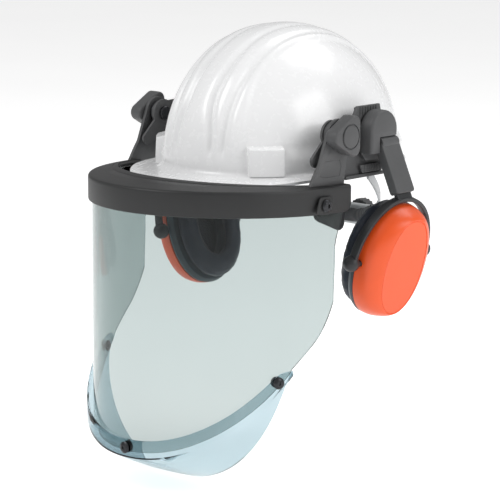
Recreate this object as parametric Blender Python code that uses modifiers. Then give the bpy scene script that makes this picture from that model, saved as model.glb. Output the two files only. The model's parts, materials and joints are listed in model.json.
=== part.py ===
"""Safety helmet with a tilting face shield and two cup-type ear muffs.

Metres, +Z up.  The origin is the centre of the headband, in the plane of the brim.
The helmet looks along -Y, and the wearer's left is +X.
Everything that exists on both sides is built on the left and mirrored to the right.
"""
import math

import bmesh
import bpy
from mathutils import Matrix, Vector

# ---------------------------------------------------------------- driving dimensions
GAP = 0.0004                     # clearance between pieces that touch

# shell
SHELL_HALF_WIDTH = 0.107
SHELL_HALF_LENGTH = 0.137
SHELL_HEIGHT = 0.134             # from the dome's base to its crown
SHELL_BASE_Z = 0.005
SHELL_WALL = 0.003
SHELL_LEAN = -0.004              # the crown sits a little forward of the base
BRIM_LIP = 0.004                 # lip at the sides and the rear
PEAK_TIP_Y = -0.175
PEAK_CENTRE_Y = -0.040
PEAK_HALF_WIDTH = 0.1125
VALLEY_DEPTH = 0.0040
VALLEY_HALF_WIDTH = 0.0040
SECOND_VALLEY_X = 0.036
SIDE_STEP = 0.0035               # how far the sides lie below the ribs
BOSS_HEIGHT = 0.0055
BOSS_TOP = (0.020, 0.027)        # the boss fades out between these heights on the dome

# head harness
BAND_HALF_WIDTH = 0.086
BAND_HALF_LENGTH = 0.104
BAND_THICKNESS = 0.0022
BAND_Z = (-0.010, 0.014)
BAND_END = math.radians(118)
PAD_THICKNESS = 0.005
NAPE_OFFSET = 0.0032             # space between the headband and the nape strap
NAPE_START = math.radians(106)
NAPE_TOP = 0.008                 # how far the strap's ends lie below the brim
NAPE_DROP = 0.070
NAPE_HALF_HEIGHT = 0.006
RATCHET_DEPTH = 0.010
STRAP_HALF_WIDTH = 0.092
STRAP_HALF_LENGTH = 0.112
STRAP_BASE_Z = 0.007
STRAP_TOP_Z = 0.096
STRAP_STEP = 0.0024              # crossing straps lie this far above each other
STRAP_WIDTH = 0.019
STRAP_THICKNESS = 0.0012
STRAP_ANGLES = (30, 90, 150)
CROWN_PAD_Z = (0.085, 0.091)
CROWN_PAD_RADIUS = 0.024

# visor pivot, on the left side
PIVOT = Vector((0.1, -0.058, 0.0425))
ADAPTER_X = (0.1116, 0.1146)
BOSS_X = 0.1170
LATCH_X = (0.1164, 0.1186)
WASHER_X = (0.1173, 0.1197)
ARM_X = (0.1200, 0.1235)
KNOB_X = (0.1242, 0.1390)
STUD_RADIUS = 0.0039
STUD_HOLE = 0.0042

# brow band that carries the face shield
BROW_HALF_WIDTH = 0.133
BROW_LENGTH = 0.1595
BROW_CENTRE_Y = -0.069
BROW_REAR_Y = -0.050
BROW_BOTTOM_Z = -0.031
BROW_TOP_Z = -0.005
BROW_RISE = 0.0035               # the flange's inner edge above its outer crease, in front
BROW_CREST = 0.0045              # the band's front above its sides
BROW_BOTTOM_CREST = 0.0055
BROW_WALL = 0.003
FLANGE_HALF_WIDTH = 0.121
FLANGE_LENGTH = 0.114
BROW_TAIL_ANGLE = math.radians(10)   # the straight rear ends, counted as an angle
SIDE_SCREW = Vector((0.128, -0.089, -0.0210))

# face shield and chin guard
SHEET_HALF_WIDTH = 0.1296
SHEET_LENGTH = 0.1556
SHEET_THICKNESS = 0.0015
SHEET_TOP_Z = -0.0092
SHEET_BOTTOM_Z = -0.260
SHEET_CHEEK_Z = -0.1785          # the lower edge at 70 degrees from straight ahead
SHEET_CHEEK_SLOPE = 0.131        # metres per radian, from there to the rear corner
SHEET_CORNER = 0.018             # how far the rounded corner lifts above that slope
SHEET_SWEEP = 0.138              # how far the lower edge would rise from the chin to 90 degrees
SHEET_SWEEP_POWER = 2.3
CHIN_END = math.radians(70)
CHIN_THICKNESS = 0.0018
CHIN_BAND_HEIGHT = 0.019
CHIN_TIP_Z = -0.1785
CHIN_SCREW_ANGLE = math.radians(64)
CHIN_SCREWS = (0.0, CHIN_SCREW_ANGLE, -CHIN_SCREW_ANGLE)

# ear muffs, on the left side
SWIVEL = Vector((0.115, 0.0015, 0.042))
HOUSING_RADIUS = 0.020
HOUSING_X = (0.1150, 0.1320)
HOUSING_FLOOR_X = 0.1198
HINGE = Vector((0.128, 0.0085, 0.029))
HINGE_BARREL = 0.0065
BLADE_LENGTH = 0.0525
BLADE_WIDTH = 0.027
BLADE_DEPTH = 0.010
BLADE_DOWN = Vector((0.019, 0.0025, -0.047)).normalized()
CUP_CENTRE = Vector((0.129, 0.0105, -0.084))
CUP_LEAN = math.radians(16)
CUP_HALF_WIDTH = 0.0465
CUP_HALF_HEIGHT = 0.0595
CUP_DROP = 0.0025                # the cup's middle below the line through the balls
CUP_DEPTH = 0.0240
CUP_WALL = 0.003
BALL_RADIUS = 0.0082
BALL_OFFSET = 0.0550
YOKE_HEIGHT = 0.062
PIN_OFFSET = 0.0035              # the cup's pins lie this far outside its base plane

# ---------------------------------------------------------------- scene and helpers
for old in list(bpy.data.objects):
    bpy.data.objects.remove(old, do_unlink=True)

PARTS = bpy.data.collections.new("safety_helmet")
bpy.context.scene.collection.children.link(PARTS)


def material(name, colour, roughness, metallic=0.0, alpha=1.0):
    """A Principled BSDF material."""
    made = bpy.data.materials.new(name)
    made.use_nodes = True
    shader = made.node_tree.nodes["Principled BSDF"]
    shader.inputs["Base Color"].default_value = (*colour, 1.0)
    shader.inputs["Roughness"].default_value = roughness
    shader.inputs["Metallic"].default_value = metallic
    shader.inputs["Alpha"].default_value = alpha
    return made


WHITE = material("shell_white", (0.86, 0.87, 0.88), 0.25)
BLACK = material("black_plastic", (0.055, 0.057, 0.060), 0.55)
CLEAR = material("clear_sheet", (0.74, 0.80, 0.79), 0.05, alpha=0.35)
BLUE = material("clear_blue", (0.45, 0.66, 0.76), 0.08, alpha=0.5)
ORANGE = material("cup_orange", (0.86, 0.13, 0.03), 0.35)
RING_GREY = material("ring_grey", (0.09, 0.12, 0.14), 0.5)
CUSHION = material("cushion_black", (0.025, 0.030, 0.040), 0.6)
FOAM = material("foam_black", (0.02, 0.022, 0.03), 0.95)
GREY = material("harness_grey", (0.45, 0.46, 0.47), 0.5)
WEBBING = material("strap_webbing", (0.30, 0.31, 0.33), 0.9)
PADDING = material("pad_fabric", (0.10, 0.10, 0.11), 0.95)
STEEL = material("screw_black", (0.06, 0.06, 0.065), 0.35, metallic=0.8)


def keep(obj, name, mat):
    """Name an object, give it its material and put it in the part's collection."""
    obj.name = name
    obj.data.name = name
    obj.data.materials.clear()
    obj.data.materials.append(mat)
    for owner in list(obj.users_collection):
        owner.objects.unlink(obj)
    PARTS.objects.link(obj)
    obj.data.shade_smooth()
    obj.data.set_sharp_from_angle(angle=math.radians(35))
    return obj


def from_bmesh(mesh_data):
    """An object from a bmesh."""
    mesh = bpy.data.meshes.new("shape")
    mesh_data.to_mesh(mesh)
    mesh_data.free()
    obj = bpy.data.objects.new("shape", mesh)
    bpy.context.scene.collection.objects.link(obj)
    return obj


def box(low, high):
    """A box between two corners."""
    low, high = Vector(low), Vector(high)
    mesh_data = bmesh.new()
    bmesh.ops.create_cube(mesh_data, size=1.0)
    bmesh.ops.scale(mesh_data, vec=high - low, verts=mesh_data.verts)
    bmesh.ops.translate(mesh_data, vec=(low + high) / 2, verts=mesh_data.verts)
    return from_bmesh(mesh_data)


AXIS_TURN = {
    "X": Matrix.Rotation(math.radians(90), 4, "Y"),
    "Y": Matrix.Rotation(math.radians(-90), 4, "X"),
    "Z": Matrix.Identity(4),
}


def cylinder(radius, start, end, centre, axis="X", sides=24, end_radius=None):
    """A cylinder or cone along a world axis, from start to end on that axis."""
    mesh_data = bmesh.new()
    end_radius = radius if end_radius is None else end_radius
    bmesh.ops.create_cone(mesh_data, cap_ends=True, segments=sides, radius1=radius,
                          radius2=end_radius, depth=end - start)
    place = Vector(centre)
    place["XYZ".index(axis)] = (start + end) / 2
    bmesh.ops.transform(mesh_data, matrix=Matrix.Translation(place) @ AXIS_TURN[axis],
                        verts=mesh_data.verts)
    return from_bmesh(mesh_data)


def plate(outline, start, end, frame=None):
    """A flat outline in (Y, Z), filled as a 2D curve and extruded along X from start to end."""
    curve = bpy.data.curves.new("outline", "CURVE")
    curve.dimensions = "2D"
    curve.fill_mode = "BOTH"
    curve.extrude = (end - start) / 2
    spline = curve.splines.new("POLY")
    spline.points.add(len(outline) - 1)
    for point, (y, z) in zip(spline.points, outline):
        point.co = (y, z, 0.0, 1.0)
    spline.use_cyclic_u = True
    flat = bpy.data.objects.new("outline", curve)
    bpy.context.scene.collection.objects.link(flat)
    turn = Matrix(((0, 0, 1, (start + end) / 2), (1, 0, 0, 0), (0, 1, 0, 0), (0, 0, 0, 1)))
    flat.matrix_world = (frame or Matrix.Identity(4)) @ turn
    return curve_to_mesh(flat)


def curve_to_mesh(flat):
    """Turn a curve object into a mesh object whose caps are welded on."""
    bpy.context.view_layer.update()
    graph = bpy.context.evaluated_depsgraph_get()
    mesh = bpy.data.meshes.new_from_object(flat.evaluated_get(graph))
    mesh_data = bmesh.new()
    mesh_data.from_mesh(mesh)
    bmesh.ops.remove_doubles(mesh_data, verts=mesh_data.verts, dist=0.000001)
    bmesh.ops.transform(mesh_data, matrix=flat.matrix_world, verts=mesh_data.verts)
    bmesh.ops.recalc_face_normals(mesh_data, faces=mesh_data.faces)
    bpy.data.objects.remove(flat, do_unlink=True)
    return from_bmesh(mesh_data)


def settle(obj):
    """Replace an object's mesh with its evaluated one and drop the modifiers."""
    bpy.context.view_layer.update()
    graph = bpy.context.evaluated_depsgraph_get()
    obj.data = bpy.data.meshes.new_from_object(obj.evaluated_get(graph))
    obj.modifiers.clear()
    return obj


def combine(obj, others, operation):
    """Join other shapes to an object (UNION) or cut them out of it (DIFFERENCE)."""
    for other in others:
        change = obj.modifiers.new("combine", "BOOLEAN")
        change.operation = operation
        change.object = other
        settle(obj)
        bpy.data.objects.remove(other, do_unlink=True)
    return obj


def bevel(obj, width, segments=2, angle=40):
    """Round the sharp edges of an object."""
    change = obj.modifiers.new("round", "BEVEL")
    change.width = width
    change.segments = segments
    change.limit_method = "ANGLE"
    change.angle_limit = math.radians(angle)
    return settle(obj)


def loft(rings):
    """A closed solid through a list of rings with the same number of points."""
    mesh_data = bmesh.new()
    rows = [[mesh_data.verts.new(point) for point in ring] for ring in rings]
    count = len(rows[0])
    for row, following in zip(rows, rows[1:]):
        for k in range(count):
            after = (k + 1) % count
            mesh_data.faces.new((row[k], row[after], following[after], following[k]))
    mesh_data.faces.new(rows[0])
    mesh_data.faces.new(rows[-1])
    bmesh.ops.recalc_face_normals(mesh_data, faces=mesh_data.faces)
    return from_bmesh(mesh_data)


def ring_loft(rings):
    """A closed solid from rings of points, whose last ring joins the first one."""
    mesh_data = bmesh.new()
    rows = [[mesh_data.verts.new(point) for point in ring] for ring in rings]
    count = len(rows[0])
    for i, row in enumerate(rows):
        following = rows[(i + 1) % len(rows)]
        for k in range(count):
            after = (k + 1) % count
            mesh_data.faces.new((row[k], row[after], following[after], following[k]))
    bmesh.ops.recalc_face_normals(mesh_data, faces=mesh_data.faces)
    return from_bmesh(mesh_data)


def turned(profile, centre, direction, sides=24):
    """A profile of (radius, height) turned about a direction through a centre."""
    mesh = bpy.data.meshes.new("profile")
    edges = [(i, i + 1) for i in range(len(profile) - 1)]
    mesh.from_pydata([(r, 0.0, h) for r, h in profile], edges, [])
    obj = bpy.data.objects.new("profile", mesh)
    bpy.context.scene.collection.objects.link(obj)
    screw = obj.modifiers.new("turn", "SCREW")
    screw.steps = sides
    screw.render_steps = sides
    screw.use_merge_vertices = True
    screw.merge_threshold = 0.00001
    settle(obj)
    turn = Vector((0, 0, 1)).rotation_difference(Vector(direction)).to_matrix().to_4x4()
    obj.data.transform(Matrix.Translation(centre) @ turn)
    return obj


def mirrored(obj, name, mat):
    """A copy of a left-hand piece on the right-hand side."""
    copy = obj.copy()
    copy.data = obj.data.copy()
    copy.data.transform(Matrix.Scale(-1, 4, (1, 0, 0)))
    copy.data.flip_normals()
    copy.location.x = -obj.location.x
    bpy.context.scene.collection.objects.link(copy)
    return keep(copy, name, mat)


def set_origin(obj, point):
    """Move an object's origin to a point without moving its mesh."""
    obj.data.transform(Matrix.Translation(-Vector(point)))
    obj.location = point
    return obj


def both_sides(obj, name, mat, origin=None):
    """Keep a left-hand piece and make its right-hand twin."""
    if origin is not None:
        set_origin(obj, origin)
    keep(obj, name + "_left", mat)
    mirrored(obj, name + "_right", mat)


def smooth(value, low, high):
    """0 below low, 1 above high, with a soft step between."""
    share = min(1.0, max(0.0, (value - low) / (high - low)))
    return share * share * (3 - 2 * share)


def arc(centre, radius, start, end, steps):
    """Points on an arc in the plane, angles in degrees."""
    points = []
    for i in range(steps + 1):
        angle = math.radians(start + (end - start) * i / steps)
        points.append((centre[0] + radius * math.cos(angle),
                       centre[1] + radius * math.sin(angle)))
    return points


# ---------------------------------------------------------------- shell
def first_valley_x(z):
    """Where the inner valley runs: closer to the middle higher up."""
    return 0.0236 - 0.0071 * smooth(z, 0.025, 0.075) - 0.0015 * smooth(z, 0.075, 0.13)


def shell_relief(x, z):
    """How far the ribbed surface lies below the plain dome."""
    side = abs(x)
    first = math.exp(-((side - first_valley_x(z)) / VALLEY_HALF_WIDTH) ** 2)
    second = math.exp(-((side - SECOND_VALLEY_X) / VALLEY_HALF_WIDTH) ** 2)
    step_x = 0.054 - 0.008 * smooth(z, 0.03, 0.11)
    step = smooth(side, step_x - 0.006, step_x + 0.003)
    depth = VALLEY_DEPTH * (first + second) * (1 - 0.6 * smooth(z, 0.09, 0.13))
    return (depth + SIDE_STEP * step) * smooth(z, 0.008, 0.026)


def boss_rise(x, y, z):
    """The raised panel on each front quarter of the shell."""
    angle = math.degrees(math.atan2(abs(x) / SHELL_HALF_WIDTH, -y / SHELL_HALF_LENGTH))
    across = smooth(angle, 32.5, 36.5) * (1 - smooth(angle, 47.5, 51.0))
    return BOSS_HEIGHT * across * (1 - smooth(z, *BOSS_TOP)) * smooth(z, 0.004, 0.007)


def shell_point(side_angle, over_angle):
    """A point of the outer surface; over_angle runs 0 to 180 degrees from front to rear."""
    along = Vector((math.sin(side_angle), -math.cos(side_angle) * math.cos(over_angle),
                    math.cos(side_angle) * math.sin(over_angle)))
    flat = (abs(along.x) ** 2.05 + abs(along.y) ** 2.05) ** (1 / 2.05)
    grow = (flat ** 2.1 + abs(along.z) ** 2.1) ** (-1 / 2.1)
    size = Vector((SHELL_HALF_WIDTH, SHELL_HALF_LENGTH, SHELL_HEIGHT))
    plain = Vector(a * b * grow for a, b in zip(along, size))
    normal = Vector(a / (b * b) for a, b in zip(plain, size)).normalized()
    height = plain.z
    plain.y += SHELL_LEAN * height / SHELL_HEIGHT
    lift = boss_rise(plain.x, plain.y, height) - shell_relief(plain.x, height)
    return plain + normal * lift + Vector((0, 0, SHELL_BASE_Z))


def brim_edge(angle):
    """The edge of the brim at an angle from straight ahead; the peak is at the front."""
    x = (SHELL_HALF_WIDTH + BRIM_LIP) * math.sin(angle)
    y = -(SHELL_HALF_LENGTH + BRIM_LIP) * math.cos(angle)
    reach = PEAK_CENTRE_Y - PEAK_TIP_Y
    peak_x = PEAK_HALF_WIDTH * math.sin(angle)
    peak_y = PEAK_CENTRE_Y - reach * max(0.0, math.cos(angle)) ** 0.9
    share = smooth(math.cos(angle), 0.0, 0.55)
    return Vector((x + (peak_x - x) * share, y + (peak_y - y) * share,
                   -0.001 - 0.003 * smooth(math.cos(angle), 0.3, 1.0)))


def make_shell():
    """The dome as a grid over the ribs, and the brim as rings around it."""
    stations = (0.010, 0.017, 0.022, 0.028, 0.032, 0.0365, 0.041, 0.046, 0.051,
                0.059, 0.070, 0.082, 0.094, 0.103)
    half = [math.asin(x / SHELL_HALF_WIDTH) for x in stations]
    sides = [-a for a in reversed(half)] + [0.0] + half
    steps = 18
    mesh_data = bmesh.new()
    left_pole = mesh_data.verts.new(shell_point(-math.pi / 2, 0.0))
    right_pole = mesh_data.verts.new(shell_point(math.pi / 2, 0.0))
    grid = [[mesh_data.verts.new(shell_point(side, math.pi * j / steps))
             for j in range(steps + 1)] for side in sides]
    for j in range(steps):
        mesh_data.faces.new((left_pole, grid[0][j], grid[0][j + 1]))
        mesh_data.faces.new((right_pole, grid[-1][j + 1], grid[-1][j]))
        for row, following in zip(grid, grid[1:]):
            mesh_data.faces.new((row[j], following[j], following[j + 1], row[j + 1]))
    base = [left_pole] + [row[0] for row in grid] + [right_pole]
    base += [row[-1] for row in reversed(grid)]
    rings = [base, [], []]
    for vertex in base:
        angle = math.atan2(vertex.co.x / SHELL_HALF_WIDTH, -vertex.co.y / SHELL_HALF_LENGTH)
        edge = brim_edge(angle)
        middle = vertex.co.lerp(edge, 0.3)
        middle.z = SHELL_BASE_Z - 0.0035
        rings[1].append(mesh_data.verts.new(middle))
        rings[2].append(mesh_data.verts.new(edge))
    for inner, outer in zip(rings, rings[1:]):
        for k in range(len(inner)):
            after = (k + 1) % len(inner)
            mesh_data.faces.new((inner[after], inner[k], outer[k], outer[after]))
    bmesh.ops.recalc_face_normals(mesh_data, faces=mesh_data.faces)
    top = max(mesh_data.faces, key=lambda face: face.calc_center_median().z)
    if top.normal.z < 0:
        bmesh.ops.reverse_faces(mesh_data, faces=mesh_data.faces)
    shell = from_bmesh(mesh_data)
    wall = shell.modifiers.new("wall", "SOLIDIFY")
    wall.thickness = SHELL_WALL
    wall.offset = -1
    settle(shell)
    keep(shell, "shell", WHITE)


# ---------------------------------------------------------------- head harness
def hoop_point(angle, half_width, half_length, z):
    """A point on an oval around the head; angle 0 is the front."""
    return Vector((half_width * math.sin(angle), -half_length * math.cos(angle), z))


def hoop(start, end, steps, half_width, half_length, thickness, low, high):
    """A band around the head from start to end; low and high are functions of the angle."""
    rings = []
    for i in range(steps + 1):
        angle = start + (end - start) * i / steps
        outer = (half_width, half_length)
        inner = (half_width - thickness, half_length - thickness)
        rings.append([hoop_point(angle, *outer, low(angle)), hoop_point(angle, *outer, high(angle)),
                      hoop_point(angle, *inner, high(angle)), hoop_point(angle, *inner, low(angle))])
    return loft(rings)


def nape_height(angle):
    """The middle of the nape strap, which drops towards the back of the head."""
    share = max(0.0, (abs(angle) - NAPE_START) / (math.pi - NAPE_START))
    return -NAPE_TOP - (NAPE_DROP - NAPE_TOP) * math.sin(share * math.pi / 2)


def nape_angle(angle):
    """Angles past the back of the head, measured back to the front."""
    return angle if angle <= math.pi else 2 * math.pi - angle


def make_headband():
    """The open headband, the sweatband in front, and the nape assembly."""
    band = hoop(-BAND_END, BAND_END, 30, BAND_HALF_WIDTH, BAND_HALF_LENGTH, BAND_THICKNESS,
                lambda a: BAND_Z[0], lambda a: BAND_Z[1])
    keep(band, "headband", GREY)
    inside = BAND_THICKNESS + GAP
    pad = hoop(-math.radians(58), math.radians(58), 16, BAND_HALF_WIDTH - inside,
               BAND_HALF_LENGTH - inside, PAD_THICKNESS, lambda a: BAND_Z[0] - 0.003,
               lambda a: BAND_Z[1] + 0.003)
    keep(pad, "brow_pad", PADDING)
    width = BAND_HALF_WIDTH + NAPE_OFFSET + BAND_THICKNESS
    length = BAND_HALF_LENGTH + NAPE_OFFSET + BAND_THICKNESS
    strap = hoop(NAPE_START, 2 * math.pi - NAPE_START, 24, width, length, BAND_THICKNESS,
                 lambda a: nape_height(nape_angle(a)) - NAPE_HALF_HEIGHT,
                 lambda a: nape_height(nape_angle(a)) + NAPE_HALF_HEIGHT)
    keep(strap, "nape_strap", GREY)
    pad = hoop(math.radians(152), math.radians(208), 10, width - inside, length - inside,
               PAD_THICKNESS, lambda a: nape_height(nape_angle(a)) - 0.010,
               lambda a: nape_height(nape_angle(a)) + 0.010)
    keep(pad, "nape_pad", PADDING)
    rear = length + GAP
    centre = Vector((0, 0, -NAPE_DROP))
    housing = box((-0.023, rear, -NAPE_DROP - 0.011),
                  (0.023, rear + RATCHET_DEPTH, -NAPE_DROP + 0.011))
    bevel(housing, 0.003)
    combine(housing, [cylinder(0.0034, rear + 0.003, rear + 0.02, centre, "Y", 16)], "DIFFERENCE")
    keep(housing, "ratchet_housing", GREY)
    knob_y = rear + RATCHET_DEPTH + GAP
    teeth = 20
    outline = []
    for i in range(2 * teeth):
        radius = 0.0150 if i % 2 else 0.0138
        angle = math.pi * i / teeth
        outline.append((radius * math.cos(angle), radius * math.sin(angle)))
    quarter_turn = Matrix.Rotation(math.radians(90), 4, "Z")
    knob = plate(outline, knob_y, knob_y + 0.011, Matrix.Translation(centre) @ quarter_turn)
    combine(knob, [cylinder(0.0030, rear + 0.004, knob_y + 0.004, centre, "Y", 16)], "UNION")
    set_origin(knob, (0, knob_y, -NAPE_DROP))
    keep(knob, "ratchet_knob", BLACK)


def strap_base(angle):
    """Where a cradle strap meets its clip."""
    return Vector((STRAP_HALF_WIDTH * math.sin(angle), -STRAP_HALF_LENGTH * math.cos(angle), 0))


def make_cradle():
    """Three webbing straps over the head, their six clips, and the crown pad."""
    for number, degrees in enumerate(STRAP_ANGLES):
        base = strap_base(math.radians(degrees))
        across = Vector((-base.y, base.x, 0)).normalized() * STRAP_WIDTH / 2
        rise = STRAP_TOP_Z + STRAP_STEP * number - STRAP_BASE_Z
        rings = []
        steps = 16
        for i in range(steps + 1):
            turn = math.pi * i / steps
            point = base * math.cos(turn) + Vector((0, 0, STRAP_BASE_Z + rise * math.sin(turn)))
            out = (base.normalized() * math.cos(turn) / base.length
                   + Vector((0, 0, math.sin(turn) / rise))).normalized()
            outer = point + out * STRAP_THICKNESS
            rings.append([point - across, point + across, outer + across, outer - across])
        keep(loft(rings), "cradle_strap_%d" % (number + 1), WEBBING)
    clips = list(STRAP_ANGLES) + [angle + 180 for angle in STRAP_ANGLES]
    for number, degrees in enumerate(sorted(clips)):
        make_clip(number + 1, math.radians(degrees))
    pad = cylinder(CROWN_PAD_RADIUS, *CROWN_PAD_Z, (0, 0, 0), "Z", 28)
    keep(pad, "crown_pad", PADDING)


def make_clip(number, angle):
    """A clip between a strap's end and the wall of the shell."""
    base = strap_base(angle)
    wall_x = SHELL_HALF_WIDTH - SHELL_WALL - 0.0012
    wall_y = SHELL_HALF_LENGTH - SHELL_WALL - 0.0012
    scale = 1 / math.hypot(base.x / wall_x, base.y / wall_y)
    reach = base.length * (scale - 1)
    turn = Matrix.Translation(base) @ Matrix.Rotation(math.atan2(base.y, base.x), 4, "Z")
    outline = [(-0.0028, -0.007), (0.003, -0.007), (0.003, -0.002), (reach - 0.001, 0.0),
               (reach - 0.001, 0.004), (0.003, 0.0062), (-0.0028, 0.0062)]
    lying = Matrix.Rotation(math.radians(-90), 4, "Z")
    clip = plate(outline, -0.010, 0.010, turn @ lying)
    keep(clip, "anchor_clip_%d" % number, BLACK)


# ---------------------------------------------------------------- side adapters
def make_adapters():
    """The plate in the accessory slot, its latch, and the stud that holds the visor."""
    px, py, pz = PIVOT
    outline = arc((py, pz), 0.014, 60, 205, 8)
    outline += arc((-0.080, 0.019), 0.007, 160, 290, 6)
    outline += [(-0.058, 0.020), (-0.047, 0.006), (-0.047, -0.004), (0.017, -0.004),
                (0.020, 0.010), (0.020, 0.034)]
    outline += arc((0.0015, 0.042), 0.0185, -20, 20, 3)
    outline += [(0.014, 0.066), (-0.020, 0.066), (-0.026, 0.056)]
    adapter = plate(outline, *ADAPTER_X)
    bevel(adapter, 0.0006, 1)
    seat = cylinder(0.0125, ADAPTER_X[0] + 0.001, BOSS_X, (0, py, pz), sides=28)
    hub = cylinder(0.0075, ADAPTER_X[0] + 0.001, 0.1190, (0, SWIVEL.y, SWIVEL.z))
    tongue = box((0.1078, -0.014, 0.010), (ADAPTER_X[0] + 0.001, 0.012, 0.026))
    rail = box((ADAPTER_X[0] + 0.001, -0.040, -0.004), (0.1180, 0.0165, -0.0005))
    tab = box((0.1088, -0.019, 0.060), (ADAPTER_X[0] + 0.001, 0.012, 0.0645))
    combine(adapter, [seat, hub, tongue, rail, tab], "UNION")
    hole = cylinder(STUD_HOLE, 0.105, 0.125, (0, py, pz))
    combine(adapter, [hole], "DIFFERENCE")
    both_sides(adapter, "accessory_adapter", BLACK)

    latch = plate([(-0.020, 0.0085), (-0.016, 0.0005), (0.013, 0.0005), (0.0165, 0.0085)],
                  *LATCH_X)
    both_sides(latch, "release_latch", BLACK)

    stud = turned([(0, 0), (0.007, 0), (0.007, 0.003), (STUD_RADIUS, 0.0032),
                   (STUD_RADIUS, 0.0262), (0.0032, 0.027), (0, 0.027)][::-1],
                  (0.1082, py, pz), (1, 0, 0))
    both_sides(stud, "pivot_stud", STEEL, (0.1082, py, pz))
    washer = cylinder(0.0120, *WASHER_X, (0, py, pz), sides=28)
    combine(washer, [cylinder(STUD_HOLE, 0.115, 0.122, (0, py, pz))], "DIFFERENCE")
    both_sides(washer, "friction_washer", STEEL, (WASHER_X[0], py, pz))


def lobed_outline(centre, lobe_distance, lobe_radius, steps=6):
    """A rounded triangle with one corner towards the front."""
    points = []
    for k in range(3):
        heading = 180 + 120 * k
        corner = (centre[0] + lobe_distance * math.cos(math.radians(heading)),
                  centre[1] + lobe_distance * math.sin(math.radians(heading)))
        points += arc(corner, lobe_radius, heading - 60, heading + 60, steps)
    return points


def make_visor_knobs():
    """Three-lobed knobs that clamp the visor arms."""
    knob = plate(lobed_outline(PIVOT.yz, 0.0135, 0.0082), *KNOB_X)
    bevel(knob, 0.0022, 2, 60)
    disc = cylinder(0.0115, KNOB_X[1] - 0.002, KNOB_X[1] + 0.0008, (0, *PIVOT.yz), sides=28,
                    end_radius=0.0105)
    combine(knob, [disc], "UNION")
    hole = cylinder(STUD_HOLE, KNOB_X[0] - 0.005, 0.1362, (0, *PIVOT.yz))
    combine(knob, [hole], "DIFFERENCE")
    both_sides(knob, "visor_knob", BLACK, (KNOB_X[0], *PIVOT.yz))


# ---------------------------------------------------------------- visor
def brow_point(angle, half_width, length, z):
    """A point on the half oval that the brow band follows; past 90 degrees it runs straight."""
    bound = min(abs(angle), math.pi / 2)
    x = math.copysign(half_width * math.sin(bound), angle)
    y = BROW_CENTRE_Y - length * math.cos(bound)
    extra = max(0.0, abs(angle) - math.pi / 2) / BROW_TAIL_ANGLE
    return Vector((x, y + extra * (BROW_REAR_Y - BROW_CENTRE_Y), z))


def brow_angles(steps):
    """Stations from the right rear end round the front to the left rear end."""
    front = [math.pi * (i / steps - 0.5) for i in range(steps + 1)]
    end = math.pi / 2 + BROW_TAIL_ANGLE
    return [-end] + front + [end]


def brow_rise(angle):
    """How far the flange's inner edge stands above its outer crease."""
    return BROW_RISE * max(0.0, math.cos(min(abs(angle), math.pi / 2))) ** 0.6


def brow_lift(angle, height):
    """How far the band's front stands above its sides."""
    return height * max(0.0, math.cos(min(abs(angle), math.pi / 2)))


def make_brow_band():
    """The outer wall and the flange that slopes up to the shell, as one moulding."""
    rings = []
    for angle in brow_angles(36):
        crease_z = BROW_TOP_Z + brow_lift(angle, BROW_CREST)
        bottom_z = BROW_BOTTOM_Z + brow_lift(angle, BROW_BOTTOM_CREST)
        top = crease_z + brow_rise(angle)
        outer = (BROW_HALF_WIDTH, BROW_LENGTH)
        wall = (BROW_HALF_WIDTH - BROW_WALL, BROW_LENGTH - BROW_WALL)
        crease = (BROW_HALF_WIDTH - 0.0015, BROW_LENGTH - 0.0015)
        rim = (FLANGE_HALF_WIDTH, FLANGE_LENGTH)
        rings.append([
            brow_point(angle, *outer, bottom_z),
            brow_point(angle, *outer, crease_z - 0.002),
            brow_point(angle, *crease, crease_z),
            brow_point(angle, *rim, top),
            brow_point(angle, *rim, top - 0.003),
            brow_point(angle, *wall, crease_z - 0.0035),
            brow_point(angle, *wall, bottom_z),
        ])
    band = loft(rings)
    combine(band, [screw_hole()], "DIFFERENCE")
    combine(band, [screw_hole(-1)], "DIFFERENCE")
    set_origin(band, (0, PIVOT.y, PIVOT.z))
    keep(band, "brow_band", BLACK)


def screw_hole(side=1):
    """A cutter for the screw that holds the sheet to the band."""
    ends = (0.110, 0.150) if side > 0 else (-0.150, -0.110)
    return cylinder(0.0024, *ends, (0, SIDE_SCREW.y, SIDE_SCREW.z), sides=12)


def make_visor_arms():
    """Flat arms from the band up to the pivots."""
    py, pz = PIVOT.yz
    outline = arc((py, pz), 0.016, -5, 165, 12)
    outline += [(-0.0855, 0.016), (-0.097, -0.0004), (-0.080, -0.0022), (-0.070, -0.0045),
                (-0.0495, -0.0045), (-0.0475, 0.010)]
    arm = plate(outline, *ARM_X)
    combine(arm, [cylinder(STUD_HOLE + 0.0001, 0.115, 0.130, (0, py, pz))], "DIFFERENCE")
    both_sides(arm, "visor_arm", BLACK, (ARM_X[0], py, pz))


def sheet_bottom(angle):
    """The lower edge of the face shield at an angle from straight ahead."""
    cheek = abs(angle) - math.radians(70)
    if cheek > 0:
        turn = max(0.0, (cheek - math.radians(9)) / math.radians(11))
        return SHEET_CHEEK_Z + SHEET_CHEEK_SLOPE * cheek + SHEET_CORNER * turn ** 2.4
    share = abs(angle) / (math.pi / 2)
    lift = 0.002 * min(1.0, (abs(angle) / math.radians(65)) ** 2)
    return SHEET_BOTTOM_Z + SHEET_SWEEP * share ** SHEET_SWEEP_POWER + lift


def sheet_rear(share):
    """How far the sheet's rear edge runs past the widest line; 0 is the top, 1 the bottom."""
    return 0.0115 * (1 - smooth(share, 0.15, 0.55)) - 0.0015 * smooth(share, 0.6, 1.0)


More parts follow.
